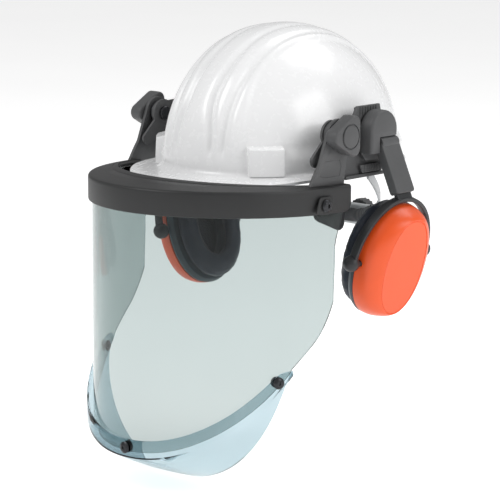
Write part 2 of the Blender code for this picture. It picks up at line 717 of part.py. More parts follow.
def make_visor_sheet():
    """The clear sheet: rows from top to bottom, each one a curved line."""
    columns = 30
    rows = (0.0, 0.2, 0.4, 0.6, 1.0)
    mesh_data = bmesh.new()
    grid = []
    for share in rows:
        line = []
        for i in range(columns + 1):
            angle = math.pi * (i / columns - 0.5)
            z = SHEET_TOP_Z + (sheet_bottom(angle) - SHEET_TOP_Z) * share
            point = Vector((SHEET_HALF_WIDTH * math.sin(angle),
                            BROW_CENTRE_Y - SHEET_LENGTH * math.cos(angle), z))
            if i in (0, columns):
                point.y += sheet_rear(share)
            line.append(mesh_data.verts.new(point))
        grid.append(line)
    for line, following in zip(grid, grid[1:]):
        for i in range(columns):
            mesh_data.faces.new((line[i], line[i + 1], following[i + 1], following[i]))
    bmesh.ops.recalc_face_normals(mesh_data, faces=mesh_data.faces)
    front = min(mesh_data.faces, key=lambda face: face.calc_center_median().y)
    if front.normal.y > 0:
        bmesh.ops.reverse_faces(mesh_data, faces=mesh_data.faces)
    sheet = from_bmesh(mesh_data)
    wall = sheet.modifiers.new("sheet", "SOLIDIFY")
    wall.thickness = SHEET_THICKNESS
    wall.offset = -1
    settle(sheet)
    holes = [screw_hole(), screw_hole(-1)] + [chin_hole(a) for a in CHIN_SCREWS]
    combine(sheet, holes, "DIFFERENCE")
    set_origin(sheet, (0, PIVOT.y, PIVOT.z))
    keep(sheet, "visor_sheet", CLEAR)


def chin_bulge(angle):
    """The chin guard stands off the sheet at the front quarters."""
    return 1 + 0.030 * math.sin(2 * min(abs(angle), math.pi / 2)) ** 2


def chin_point(angle, offset, z):
    """A point at an offset from the sheet's outer face, on the chin guard."""
    grow = chin_bulge(angle)
    return Vector(((SHEET_HALF_WIDTH + offset) * grow * math.sin(angle),
                   BROW_CENTRE_Y - (SHEET_LENGTH + offset) * grow * math.cos(angle), z))


def chin_line(angle):
    """The line that the chin guard's band follows round the sheet."""
    share = abs(angle) / (math.pi / 2)
    edge = SHEET_BOTTOM_Z + SHEET_SWEEP * share ** SHEET_SWEEP_POWER
    return edge + 0.012 + 0.005 * (angle / 1.1) ** 2


def chin_top(angle):
    """The band's upper edge, which levels out towards its tips."""
    return min(chin_line(angle), CHIN_TIP_Z)


def free_edge(angle):
    """The lower rear edge of the chin guard's flap."""
    share = (1 - abs(angle) / math.radians(71)) * math.pi / 2
    x = 0.1216 * math.cos(share) ** 0.88
    y = -0.119 - 0.0322 * math.sin(share) ** 0.6
    z = -0.180 - 0.1185 * math.sin(share) ** 1.12
    return Vector((math.copysign(x, angle), y, z))


def chin_hole(angle):
    """A cutter for a chin screw, square to the sheet."""
    place, out = chin_screw_place(angle)
    return stick(0.0021, place - out * 0.012, place + out * 0.008)


def stick(radius, start, end):
    """A thin cylinder between two points."""
    mesh_data = bmesh.new()
    along = end - start
    bmesh.ops.create_cone(mesh_data, cap_ends=True, segments=12, radius1=radius,
                          radius2=radius, depth=along.length)
    turn = Vector((0, 0, 1)).rotation_difference(along).to_matrix().to_4x4()
    bmesh.ops.transform(mesh_data, matrix=Matrix.Translation((start + end) / 2) @ turn,
                        verts=mesh_data.verts)
    return from_bmesh(mesh_data)


def chin_screw_place(angle):
    """The centre of a chin screw's head seat, and the direction it faces."""
    z = chin_line(angle) - 0.0087
    place = chin_point(angle, GAP + CHIN_THICKNESS, z)
    out = Vector((math.sin(angle) / SHEET_HALF_WIDTH, -math.cos(angle) / SHEET_LENGTH, 0))
    return place, out.normalized()


def make_chin_guard():
    """The band round the sheet's lower edge and the flap that turns back under the chin."""
    rings = []
    steps = 30
    for i in range(steps + 1):
        angle = CHIN_END * (2 * i / steps - 1)
        top = chin_top(angle)
        bottom = min(chin_line(angle) - CHIN_BAND_HEIGHT, top - 0.004)
        near = GAP
        far = GAP + CHIN_THICKNESS
        edge = free_edge(angle)
        upper = Vector((0, 0, CHIN_THICKNESS))
        outer_low = chin_point(angle, far, bottom)
        inner_low = chin_point(angle, near, bottom + 0.0012)
        middle = outer_low.lerp(edge, 0.5) + Vector((0, 0, -0.002))
        rings.append([chin_point(angle, far, top), outer_low, middle, edge, edge + upper,
                      middle + upper, inner_low, chin_point(angle, near, top)])
    guard = loft(rings)
    combine(guard, [chin_hole(a) for a in CHIN_SCREWS], "DIFFERENCE")
    set_origin(guard, (0, PIVOT.y, PIVOT.z))
    keep(guard, "chin_guard", BLUE)


def make_visor_fasteners():
    """The side clips with their covers and screws, and the three chin screws."""
    clip = plate([(-0.095, -0.012), (-0.093, -0.032), (-0.087, -0.038), (-0.057, -0.0505),
                  (-0.050, -0.050), (-0.0475, -0.045), (-0.0475, -0.012)], 0.1212, 0.1230)
    combine(clip, [screw_hole()], "DIFFERENCE")
    both_sides(clip, "visor_clip", BLACK)
    cover = plate([(-0.103, -0.0275), (-0.0965, -0.0125), (-0.080, -0.0125),
                   (-0.0725, -0.0275)], 0.1334, 0.1350)
    combine(cover, [screw_hole()], "DIFFERENCE")
    both_sides(cover, "clip_cover", BLACK)
    screw = turned([(0, 0.0135), (0.0045, 0.0135), (0.0062, 0.0115), (0.0062, 0.0105),
                    (0.0020, 0.0103), (0.0020, -0.0025), (0, -0.0025)],
                   (0.1250, SIDE_SCREW.y, SIDE_SCREW.z), (1, 0, 0), 16)
    both_sides(screw, "clip_screw", STEEL)
    names = {0.0: "chin_screw_centre", CHIN_SCREW_ANGLE: "chin_screw_left",
             -CHIN_SCREW_ANGLE: "chin_screw_right"}
    for angle in CHIN_SCREWS:
        place, out = chin_screw_place(angle)
        profile = [(0, 0.0027), (0.0038, 0.0025), (0.0058, 0.0012), (0.0058, 0.0004),
                   (0.0017, 0.0003), (0.0017, -0.0080), (0, -0.0080)]
        keep(turned(profile, place, out, 16), names[angle], STEEL)


# ---------------------------------------------------------------- ear muffs
def blade_frame():
    """Axes of the blade: X outward, Y along the hinge, Z up the blade."""
    down = BLADE_DOWN
    out = Vector((0, 1, 0)).cross(down) * -1
    out.normalize()
    across = Vector((0, 1, 0))
    rows = Matrix((out, across, -down)).transposed().to_4x4()
    return Matrix.Translation(HINGE) @ rows


def cup_frame():
    """Axes of the cup: X outward, Y towards the rear, Z up the cup."""
    return Matrix.Translation(CUP_CENTRE) @ Matrix.Rotation(CUP_LEAN, 4, "Y")


def cup_pivot():
    """The point on the cup's tilt axis that lies in its middle."""
    return cup_frame() @ Vector((PIN_OFFSET, 0, 0))


def oval(frame, offset, half_width, half_height, count=28, power=2.15):
    """Points on an oval in the cup's own plane."""
    points = []
    for i in range(count):
        turn = 2 * math.pi * i / count
        c, s = math.cos(turn), math.sin(turn)
        y = half_width * math.copysign(abs(c) ** (2 / power), c)
        z = half_height * math.copysign(abs(s) ** (2 / power), s)
        points.append(frame @ Vector((offset, y, z - CUP_DROP)))
    return points


def make_muff_mount():
    """The swivel housing with its hinge pin, and the blade that hangs from it."""
    sy, sz = SWIVEL.yz
    outline = arc((sy, sz), HOUSING_RADIUS, -5, 185, 16)
    outline += [(-0.0185, 0.020), (-0.0135, 0.0125), (0.0150, 0.0125), (0.0205, 0.020)]
    housing = plate(outline, *HOUSING_X)
    bevel(housing, 0.0035, 2, 60)
    slot = box((HOUSING_FLOOR_X, -0.0060, -0.02), (0.150, 0.04, 0.0372))
    foot = box((HOUSING_FLOOR_X, -0.04, -0.02), (0.150, 0.04, 0.0205))
    bore = cylinder(0.0079, 0.10, 0.1196, (0, sy, sz))
    pin_hole = cylinder(0.0023, -0.0155, 0.0, (HINGE.x, 0, HINGE.z), "Y", 16)
    combine(housing, [slot, foot, bore, pin_hole], "DIFFERENCE")
    both_sides(housing, "muff_housing", BLACK, SWIVEL)

    pin = cylinder(0.0020, -0.0145, HINGE.y + 0.0115, (HINGE.x, 0, HINGE.z), "Y", 16)
    both_sides(pin, "hinge_pin", STEEL, HINGE)

    frame = blade_frame()
    half = BLADE_WIDTH / 2
    corner = 0.007
    bottom = -BLADE_LENGTH
    face = [(-half, bottom + 0.003), (-half + 0.003, bottom), (half - 0.003, bottom),
            (half, bottom + 0.003)]
    face += arc((half - corner, 0.003 - corner), corner, 0, 90, 4)
    face += arc((-half + corner, 0.003 - corner), corner, 90, 180, 4)
    blade = plate(face, -BLADE_DEPTH / 2, BLADE_DEPTH / 2, frame)
    crop = box((0.10, -0.02, HINGE.z - 0.002), (0.16, 0.04, 0.08))
    combine(blade, [crop], "DIFFERENCE")
    barrel = cylinder(HINGE_BARREL, HINGE.y - 0.0125, HINGE.y + 0.0125, (HINGE.x, 0, HINGE.z),
                      "Y", 24)
    combine(blade, [barrel], "UNION")
    channel = plate([(-half + 0.0025, bottom - 0.005), (half - 0.0025, bottom - 0.005),
                     (half - 0.0025, -0.010), (-half + 0.0025, -0.010)], -0.010, 0.0020, frame)
    bore = cylinder(0.0023, HINGE.y - 0.02, HINGE.y + 0.0119, (HINGE.x, 0, HINGE.z), "Y", 16)
    combine(blade, [channel, bore], "DIFFERENCE")
    both_sides(blade, "muff_blade", BLACK, HINGE)


def make_yoke():
    """The hoop over the cup, its two ball ends and the stem that slides in the blade."""
    frame = cup_frame()
    steps = 20
    outer = arc((0, 0), 1.0, 0, 180, steps)
    hoop_outline = [(y * (BALL_OFFSET + 0.0022), z * (YOKE_HEIGHT + 0.0022)) for y, z in outer]
    hoop_outline += [(y * (BALL_OFFSET - 0.0022), z * (YOKE_HEIGHT - 0.0022))
                     for y, z in reversed(outer)]
    yoke = plate(hoop_outline, -0.0025, 0.0060, frame)
    for side in (-1, 1):
        mesh_data = bmesh.new()
        bmesh.ops.create_uvsphere(mesh_data, u_segments=14, v_segments=8, radius=BALL_RADIUS)
        centre = Matrix.Translation(frame @ Vector((0.0005, side * BALL_OFFSET, 0)))
        bmesh.ops.transform(mesh_data, matrix=centre, verts=mesh_data.verts)
        ball = from_bmesh(mesh_data)
        reach = sorted((CUP_CENTRE.y + side * (CUP_HALF_WIDTH - 0.0036),
                        CUP_CENTRE.y + side * BALL_OFFSET))
        pin = cylinder(0.0030, *reach, cup_pivot(), "Y", 16)
        combine(yoke, [ball, pin], "UNION")
    half = BLADE_WIDTH / 2 - 0.0030
    stem_outline = [(-half, -0.0585), (half, -0.0585), (half, -0.014), (-half, -0.014)]
    stem = plate(stem_outline, -0.0030, 0.0015, blade_frame())
    combine(yoke, [stem], "UNION")
    both_sides(yoke, "yoke", BLACK, CUP_CENTRE)


def make_cup():
    """The sound cup: shell, base ring, cushion and the foam inside."""
    frame = cup_frame()
    mesh_data = bmesh.new()
    profile = [(0.0, 1.0, 1.0), (0.007, 0.985, 0.988), (0.014, 0.94, 0.95), (0.0185, 0.86, 0.90),
               (0.0222, 0.75, 0.84), (CUP_DEPTH, 0.66, 0.80)]
    rows = [[mesh_data.verts.new(point) for point in
             oval(frame, offset, CUP_HALF_WIDTH * wide, CUP_HALF_HEIGHT * tall)]
            for offset, wide, tall in profile]
    for row, following in zip(rows, rows[1:]):
        for k in range(len(row)):
            after = (k + 1) % len(row)
            mesh_data.faces.new((row[k], row[after], following[after], following[k]))
    mesh_data.faces.new(rows[-1])
    bmesh.ops.recalc_face_normals(mesh_data, faces=mesh_data.faces)
    face = max(mesh_data.faces, key=lambda f: len(f.verts))
    if face.normal.x < 0:
        bmesh.ops.reverse_faces(mesh_data, faces=mesh_data.faces)
    cup = from_bmesh(mesh_data)
    wall = cup.modifiers.new("wall", "SOLIDIFY")
    wall.thickness = CUP_WALL
    wall.offset = -1
    settle(cup)
    hinge_line = cup_pivot()
    holes = [cylinder(0.0033, hinge_line.y + s * 0.040 - 0.012, hinge_line.y + s * 0.040 + 0.010,
                      hinge_line, "Y", 16) for s in (-1, 1)]
    combine(cup, holes, "DIFFERENCE")
    both_sides(cup, "cup_shell", ORANGE, cup_pivot())

    def slab(offsets, outer, inner, power=2.15):
        """An oval frame: outer and inner half sizes at each offset, as one closed ring."""
        loops = [oval(frame, x, *size, power=power) for x, size in zip(offsets, outer)]
        loops += [oval(frame, x, *size, power=power) for x, size in zip(reversed(offsets), inner)]
        return ring_loft(loops)

    ring = slab((-0.0006, -0.0035, -0.0083), ((0.0460, 0.0590), (0.0466, 0.0596), (0.0445, 0.0575)),
                ((0.024, 0.035), (0.024, 0.035), (0.024, 0.035)))
    both_sides(ring, "cup_ring", RING_GREY, cup_pivot())
    cushion = slab((-0.0087, -0.0145, -0.0230, -0.0285),
                   ((0.0435, 0.0565), (0.0455, 0.0585), (0.0430, 0.0560), (0.0360, 0.0490)),
                   ((0.0235, 0.0340), (0.0175, 0.0290), (0.0165, 0.0280), (0.0190, 0.0320)))
    both_sides(cushion, "ear_cushion", CUSHION, cup_pivot())
    foam = loft([oval(frame, 0.0010, 0.038, 0.048), oval(frame, 0.0090, 0.036, 0.046)])
    both_sides(foam, "cup_foam", FOAM, cup_pivot())


make_shell()
make_headband()
make_cradle()
make_adapters()
make_visor_knobs()
make_brow_band()
make_visor_arms()
make_visor_sheet()
make_chin_guard()
make_visor_fasteners()
make_muff_mount()
make_yoke()
make_cup()
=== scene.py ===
"""Looks of the safety helmet: fine surfaces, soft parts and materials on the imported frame."""
import json
import math

import bmesh
import bpy
from mathutils import Matrix, Vector

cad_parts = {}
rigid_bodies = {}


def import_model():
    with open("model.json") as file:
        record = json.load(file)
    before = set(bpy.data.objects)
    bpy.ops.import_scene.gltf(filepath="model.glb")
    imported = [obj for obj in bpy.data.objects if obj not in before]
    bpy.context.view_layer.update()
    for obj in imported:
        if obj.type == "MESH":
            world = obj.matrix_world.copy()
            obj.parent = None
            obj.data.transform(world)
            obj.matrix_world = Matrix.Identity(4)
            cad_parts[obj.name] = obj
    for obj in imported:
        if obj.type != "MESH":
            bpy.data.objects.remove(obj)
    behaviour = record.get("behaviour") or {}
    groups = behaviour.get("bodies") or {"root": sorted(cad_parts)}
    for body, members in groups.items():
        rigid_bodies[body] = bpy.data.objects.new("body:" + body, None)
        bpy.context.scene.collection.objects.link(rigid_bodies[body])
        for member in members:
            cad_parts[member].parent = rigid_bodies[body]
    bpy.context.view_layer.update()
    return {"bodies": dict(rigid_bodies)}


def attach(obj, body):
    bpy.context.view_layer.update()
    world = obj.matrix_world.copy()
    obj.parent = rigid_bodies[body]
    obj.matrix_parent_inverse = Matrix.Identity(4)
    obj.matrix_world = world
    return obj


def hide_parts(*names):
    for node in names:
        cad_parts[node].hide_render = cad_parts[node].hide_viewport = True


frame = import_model()

# ---------------------------------------------------------------- sizes, as in the frame
GAP = 0.0004
SHELL_HALF_WIDTH = 0.107
SHELL_HALF_LENGTH = 0.137
SHELL_HEIGHT = 0.134
SHELL_BASE_Z = 0.005
SHELL_WALL = 0.003
SHELL_LEAN = -0.004
BRIM_LIP = 0.004
PEAK_TIP_Y = -0.175
PEAK_CENTRE_Y = -0.040
PEAK_HALF_WIDTH = 0.1125
VALLEY_DEPTH = 0.0040
VALLEY_HALF_WIDTH = 0.0040
SECOND_VALLEY_X = 0.036
SIDE_STEP = 0.0035
BOSS_HEIGHT = 0.0055
BOSS_BASE_Z = -0.0030

BAND_HALF_WIDTH = 0.086
BAND_HALF_LENGTH = 0.104
BAND_THICKNESS = 0.0022
NAPE_OFFSET = 0.0032
NAPE_START = math.radians(106)
NAPE_TOP = 0.008
NAPE_DROP = 0.070
STRAP_HALF_WIDTH = 0.092
STRAP_HALF_LENGTH = 0.112
STRAP_BASE_Z = 0.007
STRAP_TOP_Z = 0.096
STRAP_STEP = 0.0024
STRAP_WIDTH = 0.019
STRAP_THICKNESS = 0.0012
STRAP_ANGLES = (30, 90, 150)

PIVOT_Y, PIVOT_Z = -0.058, 0.0425
ADAPTER_X = (0.1116, 0.1146)
BOSS_X = 0.1170
LATCH_X = (0.1164, 0.1186)
ARM_X = (0.1200, 0.1235)
KNOB_X = (0.1242, 0.1390)
STUD_HOLE = 0.0042
PIVOT = (0, PIVOT_Y, PIVOT_Z)

BROW_HALF_WIDTH = 0.133
BROW_LENGTH = 0.1595
BROW_CENTRE_Y = -0.069
BROW_REAR_Y = -0.050
BROW_BOTTOM_Z = -0.031
BROW_TOP_Z = -0.005
BROW_RISE = 0.0035
BROW_CREST = 0.0045
BROW_BOTTOM_CREST = 0.0055
BROW_WALL = 0.003
BROW_TAIL = math.radians(10)
FLANGE_HALF_WIDTH = 0.121
FLANGE_LENGTH = 0.114

SHEET_HALF_WIDTH = 0.1296
SHEET_LENGTH = 0.1556
SHEET_THICKNESS = 0.0015
SHEET_TOP_Z = -0.0092
SHEET_BOTTOM_Z = -0.260
SHEET_CHEEK_Z = -0.1785
SHEET_CHEEK_SLOPE = 0.131
SHEET_CORNER = 0.018
SHEET_SWEEP = 0.138
SHEET_SWEEP_POWER = 2.3
CHEEK_START = math.radians(70)
CHIN_END = math.radians(70)
CHIN_THICKNESS = 0.0018
CHIN_BAND_HEIGHT = 0.019
CHIN_TIP_Z = -0.1785
CHIN_SCREW_ANGLE = math.radians(64)
CHIN_SCREWS = (0.0, CHIN_SCREW_ANGLE, -CHIN_SCREW_ANGLE)
CHIN_SCREW_HOLE = 0.0021
SIDE_SCREW_Y, SIDE_SCREW_Z = -0.089, -0.0210
SIDE_SCREW = (0, SIDE_SCREW_Y, SIDE_SCREW_Z)
SIDE_SCREW_HOLE = 0.0024

SWIVEL_Y, SWIVEL_Z = 0.0015, 0.042
SWIVEL = (0, SWIVEL_Y, SWIVEL_Z)
HOUSING_RADIUS = 0.020
HOUSING_X = (0.1150, 0.1320)
HOUSING_FLOOR_X = 0.1198
HINGE = Vector((0.128, 0.0085, 0.029))
HINGE_BARREL = 0.0065
BLADE_LENGTH = 0.0525
BLADE_WIDTH = 0.027
BLADE_DEPTH = 0.010
BLADE_DOWN = Vector((0.019, 0.0025, -0.047)).normalized()
CUP_CENTRE = Vector((0.129, 0.0105, -0.084))
CUP_LEAN = math.radians(16)
CUP_HALF_WIDTH = 0.0465
CUP_HALF_HEIGHT = 0.0595
CUP_DROP = 0.0025
CUP_DEPTH = 0.0240
CUP_WALL = 0.003
CUP_ROUNDNESS = 2.15
BALL_RADIUS = 0.0082
BALL_OFFSET = 0.0550
YOKE_HEIGHT = 0.062
PIN_OFFSET = 0.0035

FLOOR_Z = -0.302
CAMERA_PLACE = Vector((1.7195, -1.9240, 0.3921))
CAMERA_AHEAD = Vector((-0.66420, 0.72429, -0.18503))
CAMERA_UP = Vector((-0.12790, 0.13376, 0.98273))
CAMERA_LENS = 185.6


# ---------------------------------------------------------------- node helpers
def set_values(made, values):
    """Capitalised keys with _ for spaces set a node's inputs, the others its settings."""
    for key, value in values.items():
        if key[0].isupper():
            made.inputs[key.replace("_", " ")].default_value = value
        else:
            setattr(made, key, value)


def new_material(name, **values):
    """A material with a lone Principled shader; returns the material, its tree and the shader."""
    made = bpy.data.materials.new(name)
    made.use_nodes = True
    shader = made.node_tree.nodes["Principled BSDF"]
    set_values(shader, values)
    return made, made.node_tree, shader


def node(tree, kind, **values):
    """A shader node with its values set."""
    made = tree.nodes.new(kind)
    set_values(made, values)
    return made


def position(tree, stretch=(1, 1, 1)):
    """The object's own coordinates, scaled."""
    place = tree.nodes.new("ShaderNodeTexCoord")
    mapping = node(tree, "ShaderNodeMapping", Scale=stretch)
    tree.links.new(place.outputs["Object"], mapping.inputs["Vector"])
    return mapping.outputs["Vector"]


def noise(tree, scale, detail, roughness=0.5, stretch=(1, 1, 1)):
    """A noise over the object's own coordinates."""
    made = node(tree, "ShaderNodeTexNoise", Scale=scale, Detail=detail, Roughness=roughness)
    tree.links.new(position(tree, stretch), made.inputs["Vector"])
    return made.outputs["Fac"]


def combined(tree, operation, first, second):
    """Two values put together by a maths node."""
    made = node(tree, "ShaderNodeMath", operation=operation)
    tree.links.new(first, made.inputs[0])
    tree.links.new(second, made.inputs[1])
    return made.outputs["Value"]


def ramp(tree, value, dark, light, low=0.3, high=0.7):
    """A colour that goes from dark to light as a value goes from low to high."""
    made = tree.nodes.new("ShaderNodeValToRGB")
    for element, place, colour in zip(made.color_ramp.elements, (low, high), (dark, light)):
        element.position = place
        element.color = (*colour, 1.0)
    tree.links.new(value, made.inputs["Fac"])
    return made.outputs["Color"]


def paint(tree, shader, colour):
    """Take the shader's base colour from a socket."""
    tree.links.new(colour, shader.inputs["Base Color"])


def value_range(tree, value, low, high, from_low=0.3, from_high=0.7):
    """Map a noise value to a range."""
    made = node(tree, "ShaderNodeMapRange", From_Min=from_low, From_Max=from_high, To_Min=low,
                To_Max=high)
    tree.links.new(value, made.inputs["Value"])
    return made.outputs["Result"]


def roughen(tree, shader, value, low, high):
    """Let the shader's roughness vary with a noise value."""
    tree.links.new(value_range(tree, value, low, high), shader.inputs["Roughness"])


def bump(tree, shader, height, strength, distance):
    """Bump the shader's normal by a height."""
    made = node(tree, "ShaderNodeBump", Strength=strength, Distance=distance)
    tree.links.new(height, made.inputs["Height"])
    tree.links.new(made.outputs["Normal"], shader.inputs["Normal"])


def edge_wear(tree, radius):
    """1 on rounded-over edges, 0 on flat faces: the difference between two normals."""
    bevelled = node(tree, "ShaderNodeBevel", samples=4, Radius=radius)
    geometry = tree.nodes.new("ShaderNodeNewGeometry")
    dot = node(tree, "ShaderNodeVectorMath", operation="DOT_PRODUCT")
    tree.links.new(bevelled.outputs["Normal"], dot.inputs[0])
    tree.links.new(geometry.outputs["Normal"], dot.inputs[1])
    return value_range(tree, dot.outputs["Value"], 1.0, 0.0, 0.90, 0.995)


def mix_colour(tree, share, first, second):
    """Mix a colour socket with a plain colour; the share is a socket too."""
    made = node(tree, "ShaderNodeMix", data_type="RGBA")
    tree.links.new(share, made.inputs[0])
    tree.links.new(first, made.inputs[6])
    made.inputs[7].default_value = (*second, 1.0)
    return made.outputs[2]


# ---------------------------------------------------------------- materials
def moulded_plastic(name, colour, roughness, grain=0.0006, grain_strength=0.25, tone=0.10,
                    gloss=0.35):
    """Injection-moulded plastic: a fine spark-eroded grain and slow changes of tone."""
    made, tree, shader = new_material(name, Specular_IOR_Level=gloss)
    light = [c * (1 + tone) for c in colour]
    dark = [c * (1 - tone) for c in colour]
    paint(tree, shader, ramp(tree, noise(tree, 18.0, 4.0, 0.55), dark, light))
    fine = noise(tree, 1.0 / grain, 3.0, 0.6)
    roughen(tree, shader, fine, roughness - 0.06, roughness + 0.06)
    bump(tree, shader, fine, grain_strength, 0.00012)
    return made


def shell_white():
    """Gloss white polyethylene: bright, with the soft waviness of a moulded shell."""
    made, tree, shader = new_material("shell_white_gloss", Coat_Weight=0.25, Coat_Roughness=0.16)
    paint(tree, shader, ramp(tree, noise(tree, 9.0, 3.0), (0.80, 0.803, 0.808),
                             (0.84, 0.843, 0.847)))
    roughen(tree, shader, noise(tree, 160.0, 2.0), 0.20, 0.30)
    bump(tree, shader, noise(tree, 30.0, 3.0, 0.5, (1, 3, 1)), 0.006, 0.0002)
    return made


def clear_plastic(name, tint, roughness, ripple, bend):
    """Thin clear polycarbonate that lets lamps through, with faint flow lines."""
    made, tree, shader = new_material(name, Transmission_Weight=1.0, IOR=bend)
    flow = noise(tree, 14.0, 2.0, 0.5, (1, 1, 0.25))
    paint(tree, shader, ramp(tree, flow, tint, [min(1.0, c * 1.015) for c in tint]))
    roughen(tree, shader, flow, roughness, roughness + 0.03)
    bump(tree, shader, flow, ripple, 0.0004)
    thin = [c ** 0.25 for c in tint]
    clear = node(tree, "ShaderNodeBsdfTransparent", Color=(*thin, 1.0))
    path = tree.nodes.new("ShaderNodeLightPath")
    mix = tree.nodes.new("ShaderNodeMixShader")
    tree.links.new(path.outputs["Is Shadow Ray"], mix.inputs["Fac"])
    tree.links.new(shader.outputs["BSDF"], mix.inputs[1])
    tree.links.new(clear.outputs["BSDF"], mix.inputs[2])
    tree.links.new(mix.outputs["Shader"], tree.nodes["Material Output"].inputs["Surface"])
    return made


def cushion_vinyl():
    """Soft dark vinyl over foam: slow changes of tone and height, and a fine change of gloss."""
    made, tree, shader = new_material("cushion_vinyl", Specular_IOR_Level=0.35)
    slow = noise(tree, 35.0, 2.0)
    paint(tree, shader, ramp(tree, slow, (0.010, 0.014, 0.025), (0.017, 0.022, 0.036)))
    roughen(tree, shader, noise(tree, 260.0, 1.0, 0.4), 0.38, 0.48)
    bump(tree, shader, slow, 0.15, 0.0010)
    return made


def open_foam():
    """Dark open-cell foam."""
    made, tree, shader = new_material("open_foam")
    voronoi = node(tree, "ShaderNodeTexVoronoi", Scale=700.0)
    tree.links.new(position(tree), voronoi.inputs["Vector"])
    cells = voronoi.outputs["Distance"]
    paint(tree, shader, ramp(tree, cells, (0.006, 0.007, 0.010), (0.030, 0.033, 0.040), 0.1, 0.6))
    roughen(tree, shader, cells, 0.85, 1.0)
    bump(tree, shader, cells, 0.9, 0.0012)
    return made


def woven(name, colour, pitch):
    """A plain weave from crossed waves, with fibre noise and a darker ground."""
    made, tree, shader = new_material(name, Sheen_Weight=0.3, Sheen_Roughness=0.5)
    place = position(tree)
    waves = []
    for direction in "XYZ":
        wave = node(tree, "ShaderNodeTexWave", wave_type="BANDS", bands_direction=direction,
                    Scale=1.0 / pitch / 20 * 6.2832, Distortion=0.6, Detail=1.0)
        tree.links.new(place, wave.inputs["Vector"])
        waves.append(wave.outputs["Fac"])
    weave = combined(tree, "MAXIMUM", combined(tree, "MULTIPLY", waves[0], waves[1]),
                     combined(tree, "MULTIPLY", waves[2], waves[1]))
    fibre = noise(tree, 900.0, 3.0, 0.7)
    thread = ramp(tree, weave, [c * 0.45 for c in colour], colour, 0.05, 0.6)
    paint(tree, shader, mix_colour(tree, fibre, thread, colour))
    roughen(tree, shader, fibre, 0.8, 1.0)
    bump(tree, shader, weave, 0.6, 0.0004)
    return made


def screw_steel():
    """Black-oxide steel with fine turning marks and bare metal on the edges."""
    made, tree, shader = new_material("screw_black_oxide", Metallic=0.75)
    marks = noise(tree, 700.0, 4.0, 0.6)
    dark = ramp(tree, marks, (0.018, 0.019, 0.022), (0.050, 0.052, 0.056))
    paint(tree, shader, mix_colour(tree, edge_wear(tree, 0.0003), dark, (0.22, 0.22, 0.23)))
    roughen(tree, shader, marks, 0.26, 0.42)
    bump(tree, shader, marks, 0.15, 0.0001)
    return made


WHITE = shell_white()
BLACK = moulded_plastic("black_grained", (0.078, 0.079, 0.081), 0.50)
BLACK_BAND = moulded_plastic("black_band", (0.021, 0.0215, 0.022), 0.48, 0.0007, 0.20)
DARK = moulded_plastic("black_smooth", (0.026, 0.027, 0.029), 0.42)
CLEAR = clear_plastic("visor_clear", (0.46, 0.52, 0.515), 0.01, 0.02, 1.25)
BLUE = clear_plastic("chin_clear_blue", (0.47, 0.59, 0.635), 0.02, 0.03, 1.22)
ORANGE = moulded_plastic("cup_orange", (0.80, 0.092, 0.014), 0.34, 0.0008, 0.08, 0.05, 0.45)
RING = moulded_plastic("ring_grey", (0.050, 0.066, 0.078), 0.45)
VINYL = cushion_vinyl()
FOAM = open_foam()
GREY = moulded_plastic("harness_grey", (0.50, 0.51, 0.52), 0.45, 0.0010, 0.12, 0.05)
WEBBING = woven("strap_webbing", (0.34, 0.35, 0.37), 0.0011)
KNIT = woven("pad_knit", (0.055, 0.056, 0.060), 0.0013)
STEEL = screw_steel()


# ---------------------------------------------------------------- mesh helpers
def from_bmesh(mesh_data, place=None):
    """An object from a bmesh, moved by a matrix."""
    if place is not None:
        bmesh.ops.transform(mesh_data, matrix=place, verts=mesh_data.verts)
    mesh = bpy.data.meshes.new("shape")
    mesh_data.to_mesh(mesh)
    mesh_data.free()
    obj = bpy.data.objects.new("shape", mesh)
    bpy.context.scene.collection.objects.link(obj)
    return obj


def face_outward(mesh_data):
    """Turn all faces the same way, outward on a closed shape."""
    bmesh.ops.recalc_face_normals(mesh_data, faces=mesh_data.faces)


def box(low, high):
    """A box between two corners."""
    low, high = Vector(low), Vector(high)
    mesh_data = bmesh.new()
    bmesh.ops.create_cube(mesh_data, size=1.0)
    bmesh.ops.scale(mesh_data, vec=high - low, verts=mesh_data.verts)
    bmesh.ops.translate(mesh_data, vec=(low + high) / 2, verts=mesh_data.verts)
    return from_bmesh(mesh_data)


AXIS_TURN = {
    "X": Matrix.Rotation(math.radians(90), 4, "Y"),
    "Y": Matrix.Rotation(math.radians(-90), 4, "X"),
    "Z": Matrix.Identity(4),
}


def cone(radius, end_radius, length, sides, place):
    """A capped cone or cylinder along Z, moved by a matrix."""
    mesh_data = bmesh.new()
    bmesh.ops.create_cone(mesh_data, cap_ends=True, segments=sides, radius1=radius,
                          radius2=end_radius, depth=length)
    return from_bmesh(mesh_data, place)


def cylinder(radius, start, end, centre, axis="X", sides=48, end_radius=None):
    """A cylinder or cone along a world axis, from start to end on that axis."""
    place = Vector(centre)
    place["XYZ".index(axis)] = (start + end) / 2
    return cone(radius, radius if end_radius is None else end_radius, end - start, sides,
                Matrix.Translation(place) @ AXIS_TURN[axis])


def turn_to(direction, start=(0, 0, 1)):
    """The turn that takes one direction to another."""
    return Vector(start).rotation_difference(Vector(direction)).to_matrix().to_4x4()


def stick(radius, start, end):
    """A thin cylinder between two points."""
    along = end - start
    return cone(radius, radius, along.length, 32,
                Matrix.Translation((start + end) / 2) @ turn_to(along))


def skin(mesh_data, row, following, closed=True):
    """Faces between two rows of vertices; closed joins their ends."""
    count = len(row)
    for k in range(count if closed else count - 1):
        after = (k + 1) % count
        mesh_data.faces.new((row[k], row[after], following[after], following[k]))


def vertex_rows(mesh_data, rings):
    """Vertices at rings of points."""
    return [[mesh_data.verts.new(point) for point in ring] for ring in rings]


